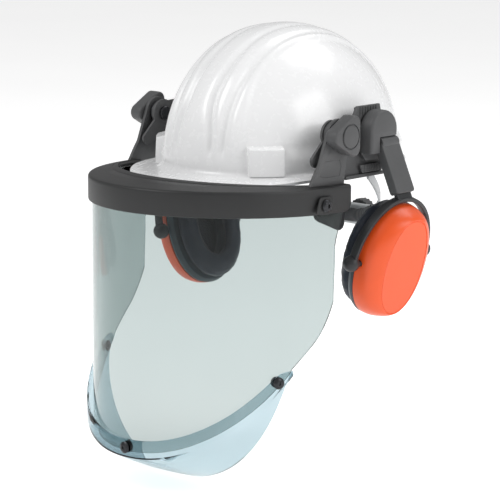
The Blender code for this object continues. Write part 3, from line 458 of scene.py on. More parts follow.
def plate(outline, start, end, place=None):
    """A flat outline in (Y, Z), extruded along X from start to end."""
    mesh_data = bmesh.new()
    low, high = vertex_rows(mesh_data, [[(x, y, z) for y, z in outline] for x in (start, end)])
    mesh_data.faces.new(low)
    mesh_data.faces.new(high)
    skin(mesh_data, low, high)
    face_outward(mesh_data)
    return from_bmesh(mesh_data, place)


def settle(obj):
    """Replace an object's mesh with its evaluated one and drop the modifiers."""
    bpy.context.view_layer.update()
    graph = bpy.context.evaluated_depsgraph_get()
    obj.data = bpy.data.meshes.new_from_object(obj.evaluated_get(graph))
    obj.modifiers.clear()


def modify(obj, kind, **values):
    """Put a modifier on an object and apply it."""
    set_values(obj.modifiers.new("change", kind), values)
    settle(obj)


def thicken(mesh_data, ahead, thickness):
    """A wall inside an open surface, whose face furthest ahead looks ahead."""
    face_outward(mesh_data)
    first = max(mesh_data.faces, key=lambda face: face.calc_center_median().dot(ahead))
    if first.normal.dot(ahead) < 0:
        bmesh.ops.reverse_faces(mesh_data, faces=mesh_data.faces)
    obj = from_bmesh(mesh_data)
    modify(obj, "SOLIDIFY", thickness=thickness, offset=-1)
    return obj


def combine(obj, others, operation):
    """Join other shapes to an object (UNION) or cut them out of it (DIFFERENCE)."""
    for other in others:
        modify(obj, "BOOLEAN", operation=operation, object=other)
        bpy.data.objects.remove(other, do_unlink=True)


def bevel(obj, width, segments=3, angle=35):
    """Round the sharp edges of an object."""
    modify(obj, "BEVEL", width=width, segments=segments, limit_method="ANGLE",
           angle_limit=math.radians(angle))


def loft(rings, closed=False):
    """A solid through rings of points; closed joins the last ring to the first."""
    mesh_data = bmesh.new()
    rows = vertex_rows(mesh_data, rings)
    for row, following in zip(rows, rows[1:]):
        skin(mesh_data, row, following)
    if closed:
        skin(mesh_data, rows[-1], rows[0])
    else:
        mesh_data.faces.new(rows[0])
        mesh_data.faces.new(rows[-1])
    face_outward(mesh_data)
    return from_bmesh(mesh_data)


def turned(profile, centre, direction, sides=48):
    """A closed profile of (radius, height) turned about a direction; it starts and ends on axis."""
    rings = []
    for k in range(sides):
        turn = 2 * math.pi * k / sides
        rings.append([(r * math.cos(turn), r * math.sin(turn), h) for r, h in profile[1:-1]])
    mesh_data = bmesh.new()
    first = mesh_data.verts.new((0, 0, profile[0][1]))
    last = mesh_data.verts.new((0, 0, profile[-1][1]))
    rows = vertex_rows(mesh_data, rings)
    for k, row in enumerate(rows):
        following = rows[(k + 1) % sides]
        mesh_data.faces.new((first, row[0], following[0]))
        mesh_data.faces.new((last, following[-1], row[-1]))
        skin(mesh_data, row, following, False)
    face_outward(mesh_data)
    return from_bmesh(mesh_data, Matrix.Translation(centre) @ turn_to(direction))


def place_piece(obj, name, mat, body, replaced, angle):
    """Name a finished piece, paint it and let it ride on its body; edges over angle stay sharp."""
    obj.name = name
    obj.data.name = name
    obj.data.materials.clear()
    obj.data.materials.append(mat)
    obj.data.shade_smooth()
    obj.data.set_sharp_from_angle(angle=math.radians(angle))
    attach(obj, body)
    if replaced:
        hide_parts(*replaced)


def mirror(obj):
    """Turn an object into its mirror image across the X = 0 plane."""
    obj.data.transform(Matrix.Scale(-1, 4, (1, 0, 0)))
    obj.data.flip_normals()


def place_pair(obj, name, mat, body, node_name, angle):
    """Place a left-hand piece and its right-hand twin."""
    twin = obj.copy()
    twin.data = obj.data.copy()
    mirror(twin)
    bpy.context.scene.collection.objects.link(twin)
    for piece, side in ((obj, "left"), (twin, "right")):
        nodes = (node_name + "_" + side,) if node_name else ()
        target = body if body in frame["bodies"] else body + "_" + side
        place_piece(piece, name + "_" + side, mat, target, nodes, angle)
    return obj, twin


def smooth(value, low, high):
    """0 below low, 1 above high, with a soft step between."""
    share = min(1.0, max(0.0, (value - low) / (high - low)))
    return share * share * (3 - 2 * share)


def arc(centre, radius, start, end, steps):
    """Points on an arc in the plane, angles in degrees."""
    points = []
    for i in range(steps + 1):
        angle = math.radians(start + (end - start) * i / steps)
        points.append((centre[0] + radius * math.cos(angle),
                       centre[1] + radius * math.sin(angle)))
    return points


# ---------------------------------------------------------------- shell
def first_valley_x(z):
    """Where the inner valley runs: closer to the middle higher up."""
    return 0.0236 - 0.0071 * smooth(z, 0.025, 0.075) - 0.0015 * smooth(z, 0.075, 0.13)


def shell_relief(x, z):
    """How far the ribbed surface lies below the plain dome."""
    side = abs(x)
    first = math.exp(-((side - first_valley_x(z)) / VALLEY_HALF_WIDTH) ** 2)
    second = math.exp(-((side - SECOND_VALLEY_X) / VALLEY_HALF_WIDTH) ** 2)
    step_x = 0.054 - 0.008 * smooth(z, 0.03, 0.11)
    step = smooth(side, step_x - 0.006, step_x + 0.003)
    depth = VALLEY_DEPTH * (first + second) * (1 - 0.6 * smooth(z, 0.09, 0.13))
    return (depth + SIDE_STEP * step) * smooth(z, 0.008, 0.026)


def dome_point(angle, z, lift):
    """A point over the plain dome, at an angle from straight ahead and a height over its base."""
    share = abs(z) / SHELL_HEIGHT
    level = (1 - share ** 2.1) ** (1 / 2.1)
    x, y = math.sin(angle), -math.cos(angle)
    flat = (abs(x) ** 2.05 + abs(y) ** 2.05) ** (1 / 2.05)
    place = Vector((SHELL_HALF_WIDTH * level * x / flat, SHELL_HALF_LENGTH * level * y / flat, z))
    normal = Vector((place.x / SHELL_HALF_WIDTH ** 2, place.y / SHELL_HALF_LENGTH ** 2,
                     z / SHELL_HEIGHT ** 2)).normalized()
    place.y += SHELL_LEAN * share
    return place + normal * lift + Vector((0, 0, SHELL_BASE_Z))


def shell_point(side_angle, over_angle):
    """A point of the outer surface; over_angle runs 0 to 180 degrees from front to rear."""
    along = Vector((math.sin(side_angle), -math.cos(side_angle) * math.cos(over_angle),
                    math.cos(side_angle) * math.sin(over_angle)))
    flat = (abs(along.x) ** 2.05 + abs(along.y) ** 2.05) ** (1 / 2.05)
    grow = (flat ** 2.1 + abs(along.z) ** 2.1) ** (-1 / 2.1)
    size = Vector((SHELL_HALF_WIDTH, SHELL_HALF_LENGTH, SHELL_HEIGHT))
    plain = Vector(a * b * grow for a, b in zip(along, size))
    normal = Vector(a / (b * b) for a, b in zip(plain, size)).normalized()
    height = plain.z
    plain.y += SHELL_LEAN * height / SHELL_HEIGHT
    lift = -shell_relief(plain.x, height)
    return plain + normal * lift + Vector((0, 0, SHELL_BASE_Z))


def brim_edge(angle):
    """The edge of the brim at an angle from straight ahead; the peak is at the front."""
    x = (SHELL_HALF_WIDTH + BRIM_LIP) * math.sin(angle)
    y = -(SHELL_HALF_LENGTH + BRIM_LIP) * math.cos(angle)
    reach = PEAK_CENTRE_Y - PEAK_TIP_Y
    peak_x = PEAK_HALF_WIDTH * math.sin(angle)
    peak_y = PEAK_CENTRE_Y - reach * max(0.0, math.cos(angle)) ** 0.9
    share = smooth(math.cos(angle), 0.0, 0.55)
    return Vector((x + (peak_x - x) * share, y + (peak_y - y) * share,
                   -0.001 - 0.003 * smooth(math.cos(angle), 0.3, 1.0)))


def make_shell():
    """The ribbed dome as a fine grid, then the brim as rings with a soft fillet."""
    across, over = 220, 180
    sides = [math.pi * ((i + 1) / (across + 1) - 0.5) for i in range(across)]
    mesh_data = bmesh.new()
    left_pole = mesh_data.verts.new(shell_point(-math.pi / 2, 0.0))
    right_pole = mesh_data.verts.new(shell_point(math.pi / 2, 0.0))
    grid = [[mesh_data.verts.new(shell_point(side, math.pi * j / over))
             for j in range(over + 1)] for side in sides]
    for j in range(over):
        mesh_data.faces.new((left_pole, grid[0][j], grid[0][j + 1]))
        mesh_data.faces.new((right_pole, grid[-1][j + 1], grid[-1][j]))
        for row, following in zip(grid, grid[1:]):
            mesh_data.faces.new((row[j], following[j], following[j + 1], row[j + 1]))
    base = [left_pole] + [row[0] for row in grid] + [right_pole]
    base += [row[-1] for row in reversed(grid)]
    profile = ((0.06, -0.0018), (0.16, -0.0030), (0.30, -0.0038), (0.48, -0.0043),
               (0.66, -0.0049), (0.82, -0.0054), (0.94, -0.0058), (1.0, -0.0060))
    rings = [base]
    for share, drop in profile:
        ring = []
        for vertex in base:
            angle = math.atan2(vertex.co.x / SHELL_HALF_WIDTH, -vertex.co.y / SHELL_HALF_LENGTH)
            edge = brim_edge(angle)
            point = vertex.co.lerp(edge, share)
            sag = (edge.z - SHELL_BASE_Z) / -0.006
            point.z = SHELL_BASE_Z + drop * sag
            ring.append(mesh_data.verts.new(point))
        rings.append(ring)
    for inner, outer in zip(rings, rings[1:]):
        for k in range(len(inner)):
            after = (k + 1) % len(inner)
            mesh_data.faces.new((inner[after], inner[k], outer[k], outer[after]))
    shell = thicken(mesh_data, Vector((0, 0, 1)), SHELL_WALL)
    bevel(shell, 0.0009, 3, 60)
    place_piece(shell, "helmet_shell", WHITE, "helmet", ("shell",), 60)


def make_bosses():
    """The raised panel on each front quarter: a block whose sides slope to a smaller face."""
    steps = 14
    rings = []
    for left, right, top, lift in ((31.6, 49.6, 0.0268, -SIDE_STEP - 0.0010),
                                   (33.8, 49.2, 0.0222, BOSS_HEIGHT)):
        corners = ((left, BOSS_BASE_Z), (right, BOSS_BASE_Z), (right, top), (left, top))
        ring = []
        for (a, z), (b, y) in zip(corners, corners[1:] + corners[:1]):
            ring += [(a + (b - a) * k / steps, z + (y - z) * k / steps) for k in range(steps)]
        rings.append([dome_point(math.radians(turn), z, lift) for turn, z in ring])
    mesh_data = bmesh.new()
    rows = vertex_rows(mesh_data, rings)
    skin(mesh_data, *rows)
    for row in rows:
        grid = [[row[k] for k in range(steps + 1)]]
        for j in range(1, steps):
            low, high = row[4 * steps - j], row[steps + j]
            line = [low]
            for k in range(1, steps):
                bottom, top = row[k].co, row[3 * steps - k].co
                line.append(mesh_data.verts.new(bottom.lerp(top, j / steps)))
            grid.append(line + [high])
        grid.append([row[3 * steps - k] for k in range(steps + 1)])
        for line, following in zip(grid, grid[1:]):
            skin(mesh_data, line, following, False)
    face_outward(mesh_data)
    boss = from_bmesh(mesh_data)
    bevel(boss, 0.0005, 3, 35)
    place_pair(boss, "shell_boss", WHITE, "helmet", None, 30)


# ---------------------------------------------------------------- brow band
def brow_point(angle, half_width, length, z):
    """A point on the half oval that the brow band follows; past 90 degrees it runs straight."""
    bound = min(abs(angle), math.pi / 2)
    x = math.copysign(half_width * math.sin(bound), angle)
    y = BROW_CENTRE_Y - length * math.cos(bound)
    extra = max(0.0, abs(angle) - math.pi / 2) / BROW_TAIL
    return Vector((x, y + extra * (BROW_REAR_Y - BROW_CENTRE_Y), z))


def brow_share(angle):
    """1 straight ahead, 0 at the sides."""
    return max(0.0, math.cos(min(abs(angle), math.pi / 2)))


def brow_angles(steps):
    """Stations from the right rear end round the front to the left rear end."""
    front = [math.pi * (i / steps - 0.5) for i in range(steps + 1)]
    tail = [BROW_TAIL * k / 6 for k in (1, 2, 3, 4, 5, 5.5, 6)]
    return ([-math.pi / 2 - t for t in reversed(tail)] + front + [math.pi / 2 + t for t in tail])


def side_screw_hole():
    """A cutter for the left side screw."""
    return cylinder(SIDE_SCREW_HOLE, 0.110, 0.150, SIDE_SCREW)


def make_brow_band():
    """The grained outer wall, its rounded crease and the flange that slopes up to the shell."""
    rings = []
    for angle in brow_angles(150):
        share = brow_share(angle)
        crease = BROW_TOP_Z + BROW_CREST * share
        bottom = BROW_BOTTOM_Z + BROW_BOTTOM_CREST * share
        inner = crease + BROW_RISE * share ** 0.6
        section = [(0.0011, bottom), (0.0003, bottom + 0.0006), (0.0, bottom + 0.0020),
                   (0.0, crease - 0.0034)]
        for k in range(6):
            turn = math.radians(15 + 14 * k)
            section.append((0.0026 * (1 - math.cos(turn)),
                            crease - 0.0028 + 0.0028 * math.sin(turn)))
        points = [brow_point(angle, BROW_HALF_WIDTH - d, BROW_LENGTH - d, z) for d, z in section]
        rim = brow_point(angle, FLANGE_HALF_WIDTH, FLANGE_LENGTH, inner)
        edge = points[-1]
        for part, lift in ((0.10, 0.0), (0.50, 0.0), (0.74, 0.0), (0.755, -0.0004),
                           (0.775, -0.0004), (0.79, 0.0), (0.90, 0.0), (0.985, 0.0003)):
            points.append(edge.lerp(rim, part) + Vector((0, 0, lift)))
        points.append(rim + Vector((0, 0, -0.0004)))
        points.append(rim + Vector((0, 0, -0.0026)))
        points.append(edge.lerp(rim, 0.96) + Vector((0, 0, -0.0030)))
        for depth, z in ((BROW_WALL + 0.003, crease - 0.0036), (BROW_WALL, crease - 0.0060),
                         (BROW_WALL, bottom + 0.0012), (BROW_WALL - 0.0006, bottom)):
            points.append(brow_point(angle, BROW_HALF_WIDTH - depth, BROW_LENGTH - depth, z))
        rings.append(points)
    band = loft(rings)
    for side in (1, -1):
        hole = side_screw_hole()
        if side < 0:
            mirror(hole)
        combine(band, [hole], "DIFFERENCE")
    cutters = []
    for side in (1, -1):
        low, high = sorted((side * 0.10, side * 0.15))
        corner = box((low, BROW_REAR_Y - 0.008, BROW_BOTTOM_Z - 0.01),
                     (high, BROW_REAR_Y + 0.01, BROW_BOTTOM_Z + 0.008))
        round_tool = cylinder(0.008, low - 0.01, high + 0.01,
                              (0, BROW_REAR_Y - 0.008, BROW_BOTTOM_Z + 0.008))
        combine(corner, [round_tool], "DIFFERENCE")
        cutters.append(corner)
    combine(band, cutters, "DIFFERENCE")
    bevel(band, 0.0005, 2, 50)
    place_piece(band, "brow_band_moulding", BLACK_BAND, "visor",
                ("brow_band",), 40)


# ---------------------------------------------------------------- face shield and chin guard
def sheet_sweep(angle):
    """How the lower edge of the sheet rises from the chin towards the cheeks."""
    share = abs(angle) / (math.pi / 2)
    return SHEET_BOTTOM_Z + SHEET_SWEEP * share ** SHEET_SWEEP_POWER


def sheet_bottom(angle):
    """The lower edge of the face shield at an angle from straight ahead."""
    cheek = abs(angle) - CHEEK_START
    if cheek > 0:
        corner = SHEET_CORNER * max(0.0, (cheek - math.radians(9)) / math.radians(11)) ** 2.4
        return SHEET_CHEEK_Z + SHEET_CHEEK_SLOPE * cheek + corner
    return sheet_sweep(angle) + 0.002 * min(1.0, (abs(angle) / math.radians(65)) ** 2)


def sheet_rear(share):
    """How far the sheet's rear edge runs past the widest line; 0 is the top, 1 the bottom."""
    return 0.0115 * (1 - smooth(share, 0.15, 0.55)) - 0.0015 * smooth(share, 0.6, 1.0)


def make_visor_sheet():
    """The clear sheet: rows from top to bottom, each one a curved line round the face."""
    columns, rows = 150, 72
    mesh_data = bmesh.new()
    grid = []
    for j in range(rows + 1):
        share = j / rows
        end = math.pi / 2 + sheet_rear(share) / SHEET_LENGTH
        line = []
        for i in range(columns + 1):
            along = end * (2 * i / columns - 1)
            angle = max(-math.pi / 2, min(math.pi / 2, along))
            past = (abs(along) - abs(angle)) * SHEET_LENGTH
            z = SHEET_TOP_Z + (sheet_bottom(angle) - SHEET_TOP_Z) * share
            line.append(mesh_data.verts.new((
                SHEET_HALF_WIDTH * math.sin(angle),
                BROW_CENTRE_Y - SHEET_LENGTH * math.cos(angle) + past, z)))
        grid.append(line)
    for line, following in zip(grid, grid[1:]):
        skin(mesh_data, line, following, False)
    sheet = thicken(mesh_data, Vector((0, -1, 0)), SHEET_THICKNESS)
    holes = [stick(SIDE_SCREW_HOLE, Vector((side * 0.110, SIDE_SCREW_Y, SIDE_SCREW_Z)),
                   Vector((side * 0.150, SIDE_SCREW_Y, SIDE_SCREW_Z))) for side in (-1, 1)]
    combine(sheet, holes + [chin_hole(angle) for angle in CHIN_SCREWS], "DIFFERENCE")
    place_piece(sheet, "face_shield", CLEAR, "visor", ("visor_sheet",), 40)


def chin_bulge(angle):
    """The chin guard stands off the sheet at the front quarters."""
    return 1 + 0.030 * math.sin(2 * min(abs(angle), math.pi / 2)) ** 2


def chin_point(angle, offset, z):
    """A point at an offset from the sheet's outer face, on the chin guard."""
    grow = chin_bulge(angle)
    return Vector(((SHEET_HALF_WIDTH + offset) * grow * math.sin(angle),
                   BROW_CENTRE_Y - (SHEET_LENGTH + offset) * grow * math.cos(angle), z))


def chin_line(angle):
    """The line that the chin guard's band follows round the sheet."""
    return sheet_sweep(angle) + 0.012 + 0.005 * (angle / 1.1) ** 2


def chin_top(angle):
    """The band's upper edge, which levels out towards its tips."""
    soft, base = 0.003, -0.2
    heights = (chin_line(angle), CHIN_TIP_Z)
    return base - soft * math.log(sum(math.exp((base - z) / soft) for z in heights))


def free_edge(angle):
    """The lower rear edge of the chin guard's flap."""
    share = (1 - abs(angle) / math.radians(71)) * math.pi / 2
    x = 0.1216 * math.cos(share) ** 0.88
    y = -0.119 - 0.0322 * math.sin(share) ** 0.6
    z = -0.180 - 0.1185 * math.sin(share) ** 1.12
    return Vector((math.copysign(x, angle), y, z))


def chin_screw_place(angle):
    """The centre of a chin screw's head seat, and the direction it faces."""
    z = chin_line(angle) - 0.0087
    place = chin_point(angle, GAP + CHIN_THICKNESS, z)
    out = Vector((math.sin(angle) / SHEET_HALF_WIDTH, -math.cos(angle) / SHEET_LENGTH, 0))
    return place, out.normalized()


def chin_hole(angle):
    """A cutter for a chin screw, square to the sheet."""
    place, out = chin_screw_place(angle)
    return stick(CHIN_SCREW_HOLE, place - out * 0.012, place + out * 0.008)


def make_chin_guard():
    """The band round the sheet's lower edge and the curved flap that turns back."""
    rings = []
    steps = 170
    for i in range(steps + 1):
        angle = CHIN_END * (2 * i / steps - 1)
        top = chin_top(angle)
        bottom = min(chin_line(angle) - CHIN_BAND_HEIGHT, top - 0.004)
        near, far = GAP, GAP + CHIN_THICKNESS
        edge = free_edge(angle)
        corner = chin_point(angle, far, bottom)
        upper = Vector((0, 0, CHIN_THICKNESS))
        middle = (top + bottom) / 2
        outside = [chin_point(angle, offset, z) for offset, z in (
            (near + 0.0005, top), (far - 0.0004, top), (far, top - 0.0006), (far, middle),
            (far + 0.0004, bottom + 0.0022), (far, bottom + 0.0008))]
        under, over = [], []
        for k in range(1, 9):
            share = k / 8
            point = corner.lerp(edge, share)
            sag = Vector((0, 0, -0.0045 * math.sin(math.pi * share) * edge.length))
            under.append(point + sag)
            over.append(point + sag + upper)
        inside = [chin_point(angle, near, z) for z in (bottom + 0.0020, middle, top - 0.0004)]
        rings.append(outside + under + over[::-1] + inside)
    guard = loft(rings)
    combine(guard, [chin_hole(angle) for angle in CHIN_SCREWS], "DIFFERENCE")
    place_piece(guard, "chin_guard_flap", BLUE, "visor", ("chin_guard",), 40)


# ---------------------------------------------------------------- arms, clips and screws
def make_visor_arms():
    """Flat arms from the band up to the pivots, with rounded edges and a stiffening recess."""
    outline = arc((PIVOT_Y, PIVOT_Z), 0.016, -5, 165, 48)
    outline += [(-0.0855, 0.016), (-0.0900, 0.0100), (-0.0985, -0.0030),
                (-0.0985, -0.0045), (-0.080, -0.0055), (-0.070, -0.0060), (-0.0495, -0.0060),
                (-0.0475, 0.010)]
    arm = plate(outline, *ARM_X)
    hole = cylinder(STUD_HOLE + 0.0001, 0.115, 0.130, PIVOT)
    combine(arm, [hole], "DIFFERENCE")
    recess = plate([(-0.0800, 0.0190), (-0.0860, 0.0060), (-0.0790, 0.0030), (-0.0560, 0.0030),
                    (-0.0535, 0.0120), (-0.0560, 0.0190)], ARM_X[1] - 0.0007, ARM_X[1] + 0.001)
    bevel(recess, 0.0012, 3, 60)
    combine(arm, [recess], "DIFFERENCE")
    bevel(arm, 0.0007, 3, 40)
    place_pair(arm, "shield_arm", BLACK, "visor", "visor_arm", 30)


def screw_head(profile, place, out, recess_radius):
    """A turned screw with a six-lobed drive in its head."""
    screw = turned(profile, place, out)
    outline = []
    count = 48
    for k in range(count):
        turn = 2 * math.pi * k / count
        radius = recess_radius * (0.86 + 0.14 * math.cos(6 * turn))
        outline.append((radius * math.cos(turn), radius * math.sin(turn)))
    top = max(h for _, h in profile)
    cutter = plate(outline, top - 0.0012, top + 0.004)
    cutter.data.transform(Matrix.Translation(place) @ turn_to(out, (1, 0, 0)))
    combine(screw, [cutter], "DIFFERENCE")
    return screw


def make_visor_fasteners():
    """The side clips with their covers and screws, and the three chin screws with their nuts."""
    outline = [(-0.0950, -0.012), (-0.0935, -0.0300), (-0.0905, -0.0355), (-0.0860, -0.0385),
               (-0.0580, -0.0502), (-0.0540, -0.0508), (-0.0500, -0.0492), (-0.0478, -0.0455),
               (-0.0475, -0.0400), (-0.0475, -0.012)]
    clip = plate(outline, 0.1212, 0.1230)
    combine(clip, [side_screw_hole()], "DIFFERENCE")
    bevel(clip, 0.0004, 2, 40)
    place_pair(clip, "shield_clip", DARK, "visor", "visor_clip", 30)
    cover = plate([(-0.1030, -0.0275), (-0.0975, -0.0140), (-0.0955, -0.0125), (-0.0815, -0.0125),
                   (-0.0795, -0.0140), (-0.0725, -0.0275)], 0.1334, 0.1350)
    combine(cover, [side_screw_hole()], "DIFFERENCE")
    bevel(cover, 0.0005, 3, 40)
    place_pair(cover, "side_cover", BLACK_BAND, "visor", "clip_cover", 30)
    profile = [(0, 0.0136), (0.0030, 0.0136), (0.0045, 0.0134), (0.0055, 0.0127),
               (0.0062, 0.0115), (0.0062, 0.0105), (0.0020, 0.0103), (0.0020, -0.0025),
               (0, -0.0025)]
    screw = screw_head(profile, Vector((0.1250, SIDE_SCREW_Y, SIDE_SCREW_Z)), (1, 0, 0), 0.0026)
    place_pair(screw, "side_screw", STEEL, "visor", "clip_screw", 25)
    profile = [(0, 0.0028), (0.0024, 0.0027), (0.0042, 0.0022), (0.0054, 0.0014),
               (0.0058, 0.0010), (0.0058, 0.0004), (0.0017, 0.0003), (0.0017, -0.0041),
               (0.0052, -0.0042), (0.0056, -0.0048), (0.0054, -0.0066), (0.0048, -0.0070),
               (0.0017, -0.0070), (0.0017, -0.0080), (0, -0.0080)]
    for angle, name in zip(CHIN_SCREWS, ("centre", "left", "right")):
        screw = screw_head(profile, *chin_screw_place(angle), 0.0022)
        place_piece(screw, "chin_fastener_" + name, STEEL, "visor",
                    ("chin_screw_" + name,), 25)


# ---------------------------------------------------------------- side adapters and knobs
def make_adapters():
    """The plate in the accessory slot, its latch, the stud and the friction washer."""
    outline = arc((PIVOT_Y, PIVOT_Z), 0.014, 60, 205, 40)
    outline += arc((-0.080, 0.019), 0.007, 160, 290, 24)
    outline += [(-0.058, 0.020), (-0.050, 0.0085), (-0.047, 0.006), (-0.047, -0.004),
                (0.017, -0.004), (0.020, 0.010), (0.020, 0.034)]
    outline += arc((SWIVEL_Y, SWIVEL_Z), 0.0185, -20, 20, 12)
    outline += [(0.014, 0.066), (-0.020, 0.066), (-0.026, 0.056)]
    adapter = plate(outline, *ADAPTER_X)
    bevel(adapter, 0.0006, 2)
    inner = ADAPTER_X[0] + 0.001
    seat = cylinder(0.0125, inner, BOSS_X, PIVOT, sides=64)
    hub = cylinder(0.0075, inner, 0.1190, SWIVEL)
    tongue = box((0.1078, -0.014, 0.010), (inner, 0.012, 0.026))
    rail = box((inner, -0.040, -0.004), (0.1180, 0.0165, -0.0005))
    bevel(rail, 0.0005, 2)
    tab = box((0.1088, -0.019, 0.060), (inner, 0.012, 0.0645))
    bevel(tab, 0.0005, 2)
    combine(adapter, [seat, hub, tongue, rail, tab], "UNION")
    ribs = [box((ADAPTER_X[1] - 0.0007, y, 0.0570), (ADAPTER_X[1] + 0.0007, y + 0.0014, 0.0650))
            for y in (-0.0165, -0.0125, -0.0085, -0.0045, -0.0005, 0.0035, 0.0075)]
    combine(adapter, ribs, "UNION")
    hole = cylinder(STUD_HOLE, 0.105, 0.125, PIVOT)
    combine(adapter, [hole], "DIFFERENCE")
    place_pair(adapter, "slot_adapter", BLACK, "helmet", "accessory_adapter", 30)

    latch = plate([(-0.020, 0.0085), (-0.016, 0.0005), (0.013, 0.0005), (0.0165, 0.0085)],
                  *LATCH_X)
    bevel(latch, 0.0004, 2)
    grooves = [box((LATCH_X[1] - 0.0004, -0.0135 + 0.0038 * k, -0.001),
                   (LATCH_X[1] + 0.001, -0.0125 + 0.0038 * k, 0.010)) for k in range(7)]
    combine(latch, grooves, "DIFFERENCE")
    place_pair(latch, "press_latch", BLACK, "latch", "release_latch", 30)

    profile = [(0, 0), (0.0066, 0), (0.007, 0.0004), (0.007, 0.0026), (0.0066, 0.003),
               (0.0039, 0.0032), (0.0039, 0.0262), (0.0032, 0.027), (0, 0.027)]
    stud = turned(profile, (0.1082, PIVOT_Y, PIVOT_Z), (1, 0, 0))
    place_pair(stud, "stud", STEEL, "helmet", "pivot_stud", 25)
    washer = cylinder(0.0120, 0.1173, 0.1197, PIVOT, sides=64)
    combine(washer, [cylinder(STUD_HOLE, 0.115, 0.122, PIVOT)], "DIFFERENCE")
    bevel(washer, 0.0003, 2)
    place_pair(washer, "washer", STEEL, "helmet", "friction_washer", 25)


def lobed_outline(lobe_distance, lobe_radius):
    """A rounded triangle with one corner towards the front and softly waisted sides."""
    points = []
    for heading in (180, 300, 420):
        turn = math.radians(heading)
        corner = (PIVOT_Y + lobe_distance * math.cos(turn),
                  PIVOT_Z + lobe_distance * math.sin(turn))
        points += arc(corner, lobe_radius, heading - 60, heading + 60, 24)
    return points


def make_visor_knobs():
    """Three-lobed knobs that clamp the visor arms, with a round inset disc."""
    knob = plate(lobed_outline(0.0135, 0.0082), *KNOB_X)
    bevel(knob, 0.0022, 5, 50)
    groove = cylinder(0.0126, KNOB_X[1] - 0.0009, KNOB_X[1] + 0.003, PIVOT, sides=96)
    combine(knob, [groove], "DIFFERENCE")
    disc = cylinder(0.0117, KNOB_X[1] - 0.002, KNOB_X[1] + 0.0008, PIVOT, sides=96,
                    end_radius=0.0108)
    bevel(disc, 0.0004, 3)
    combine(knob, [disc], "UNION")
    hole = cylinder(STUD_HOLE, KNOB_X[0] - 0.005, 0.1362, PIVOT)
    combine(knob, [hole], "DIFFERENCE")
    place_pair(knob, "clamp_knob", BLACK, "knob", "visor_knob", 30)


# ---------------------------------------------------------------- ear muffs
def blade_frame():
    """Axes of the blade: X outward, Y along the hinge, Z up the blade."""
    across = Vector((0, 1, 0))
    out = -across.cross(BLADE_DOWN)
    out.normalize()
    rows = Matrix((out, across, -BLADE_DOWN)).transposed().to_4x4()
    return Matrix.Translation(HINGE) @ rows


def cup_frame():
    """Axes of the cup: X outward, Y towards the rear, Z up the cup."""
    return Matrix.Translation(CUP_CENTRE) @ Matrix.Rotation(CUP_LEAN, 4, "Y")


def cup_pivot():
    """The point on the cup's tilt axis that lies in its middle."""
    return cup_frame() @ Vector((PIN_OFFSET, 0, 0))


def oval(offset, half_width, half_height, count=112):
    """Points on an oval in the cup's own plane."""
    points = []
    place = cup_frame()
    for i in range(count):
        turn = 2 * math.pi * i / count
        c, s = math.cos(turn), math.sin(turn)
        y = half_width * math.copysign(abs(c) ** (2 / CUP_ROUNDNESS), c)
        z = half_height * math.copysign(abs(s) ** (2 / CUP_ROUNDNESS), s)
        points.append(place @ Vector((offset, y, z - CUP_DROP)))
    return points


def make_muff_mount():
    """The swivel housing with its hinge pin, and the blade that hangs from it."""
    outline = arc((SWIVEL_Y, SWIVEL_Z), HOUSING_RADIUS, -5, 185, 72)
    outline += [(-0.0185, 0.020), (-0.0135, 0.0125), (0.0150, 0.0125), (0.0205, 0.020)]
    housing = plate(outline, *HOUSING_X)
    bevel(housing, 0.0035, 5, 50)
    slot = box((HOUSING_FLOOR_X, -0.0060, -0.02), (0.150, 0.04, 0.0360))
    foot = box((HOUSING_FLOOR_X, -0.04, -0.02), (0.150, 0.04, 0.0205))
    bore = cylinder(0.0079, 0.10, 0.1196, SWIVEL)
    pin_hole = cylinder(0.0023, -0.0155, 0.0, (HINGE.x, 0, HINGE.z), "Y")
    combine(housing, [slot, foot, bore, pin_hole], "DIFFERENCE")
    bevel(housing, 0.0004, 2, 50)
    place_pair(housing, "swivel_housing", BLACK, "mount", "muff_housing", 30)

    pin = cylinder(0.0020, -0.0145, HINGE.y + 0.0115, (HINGE.x, 0, HINGE.z), "Y")
    bevel(pin, 0.0003, 2)
    place_pair(pin, "blade_pin", STEEL, "mount", "hinge_pin", 25)

    place = blade_frame()
    half = BLADE_WIDTH / 2
    corner = 0.007
    bottom = -BLADE_LENGTH
    face = arc((-half + 0.003, bottom + 0.003), 0.003, 180, 270, 8)
    face += arc((half - 0.003, bottom + 0.003), 0.003, 270, 360, 8)
    face += arc((half - corner, 0.003 - corner), corner, 0, 90, 14)
    face += arc((-half + corner, 0.003 - corner), corner, 90, 180, 14)
    blade = plate(face, -BLADE_DEPTH / 2, BLADE_DEPTH / 2, place)
    bevel(blade, 0.0009, 3, 50)
    barrel = cylinder(HINGE_BARREL, HINGE.y - 0.0125, HINGE.y + 0.0125, (HINGE.x, 0, HINGE.z),
                      "Y", 64)
    bevel(barrel, 0.0005, 2)
    combine(blade, [barrel], "UNION")
    channel = plate([(-half + 0.0025, bottom - 0.005), (half - 0.0025, bottom - 0.005),
                     (half - 0.0025, -0.010), (-half + 0.0025, -0.010)], -0.010, 0.0020, place)
    bore = cylinder(0.0023, HINGE.y - 0.02, HINGE.y + 0.0119, (HINGE.x, 0, HINGE.z), "Y")
    combine(blade, [channel, bore], "DIFFERENCE")
    place_pair(blade, "hanger_blade", BLACK, "blade", "muff_blade", 30)


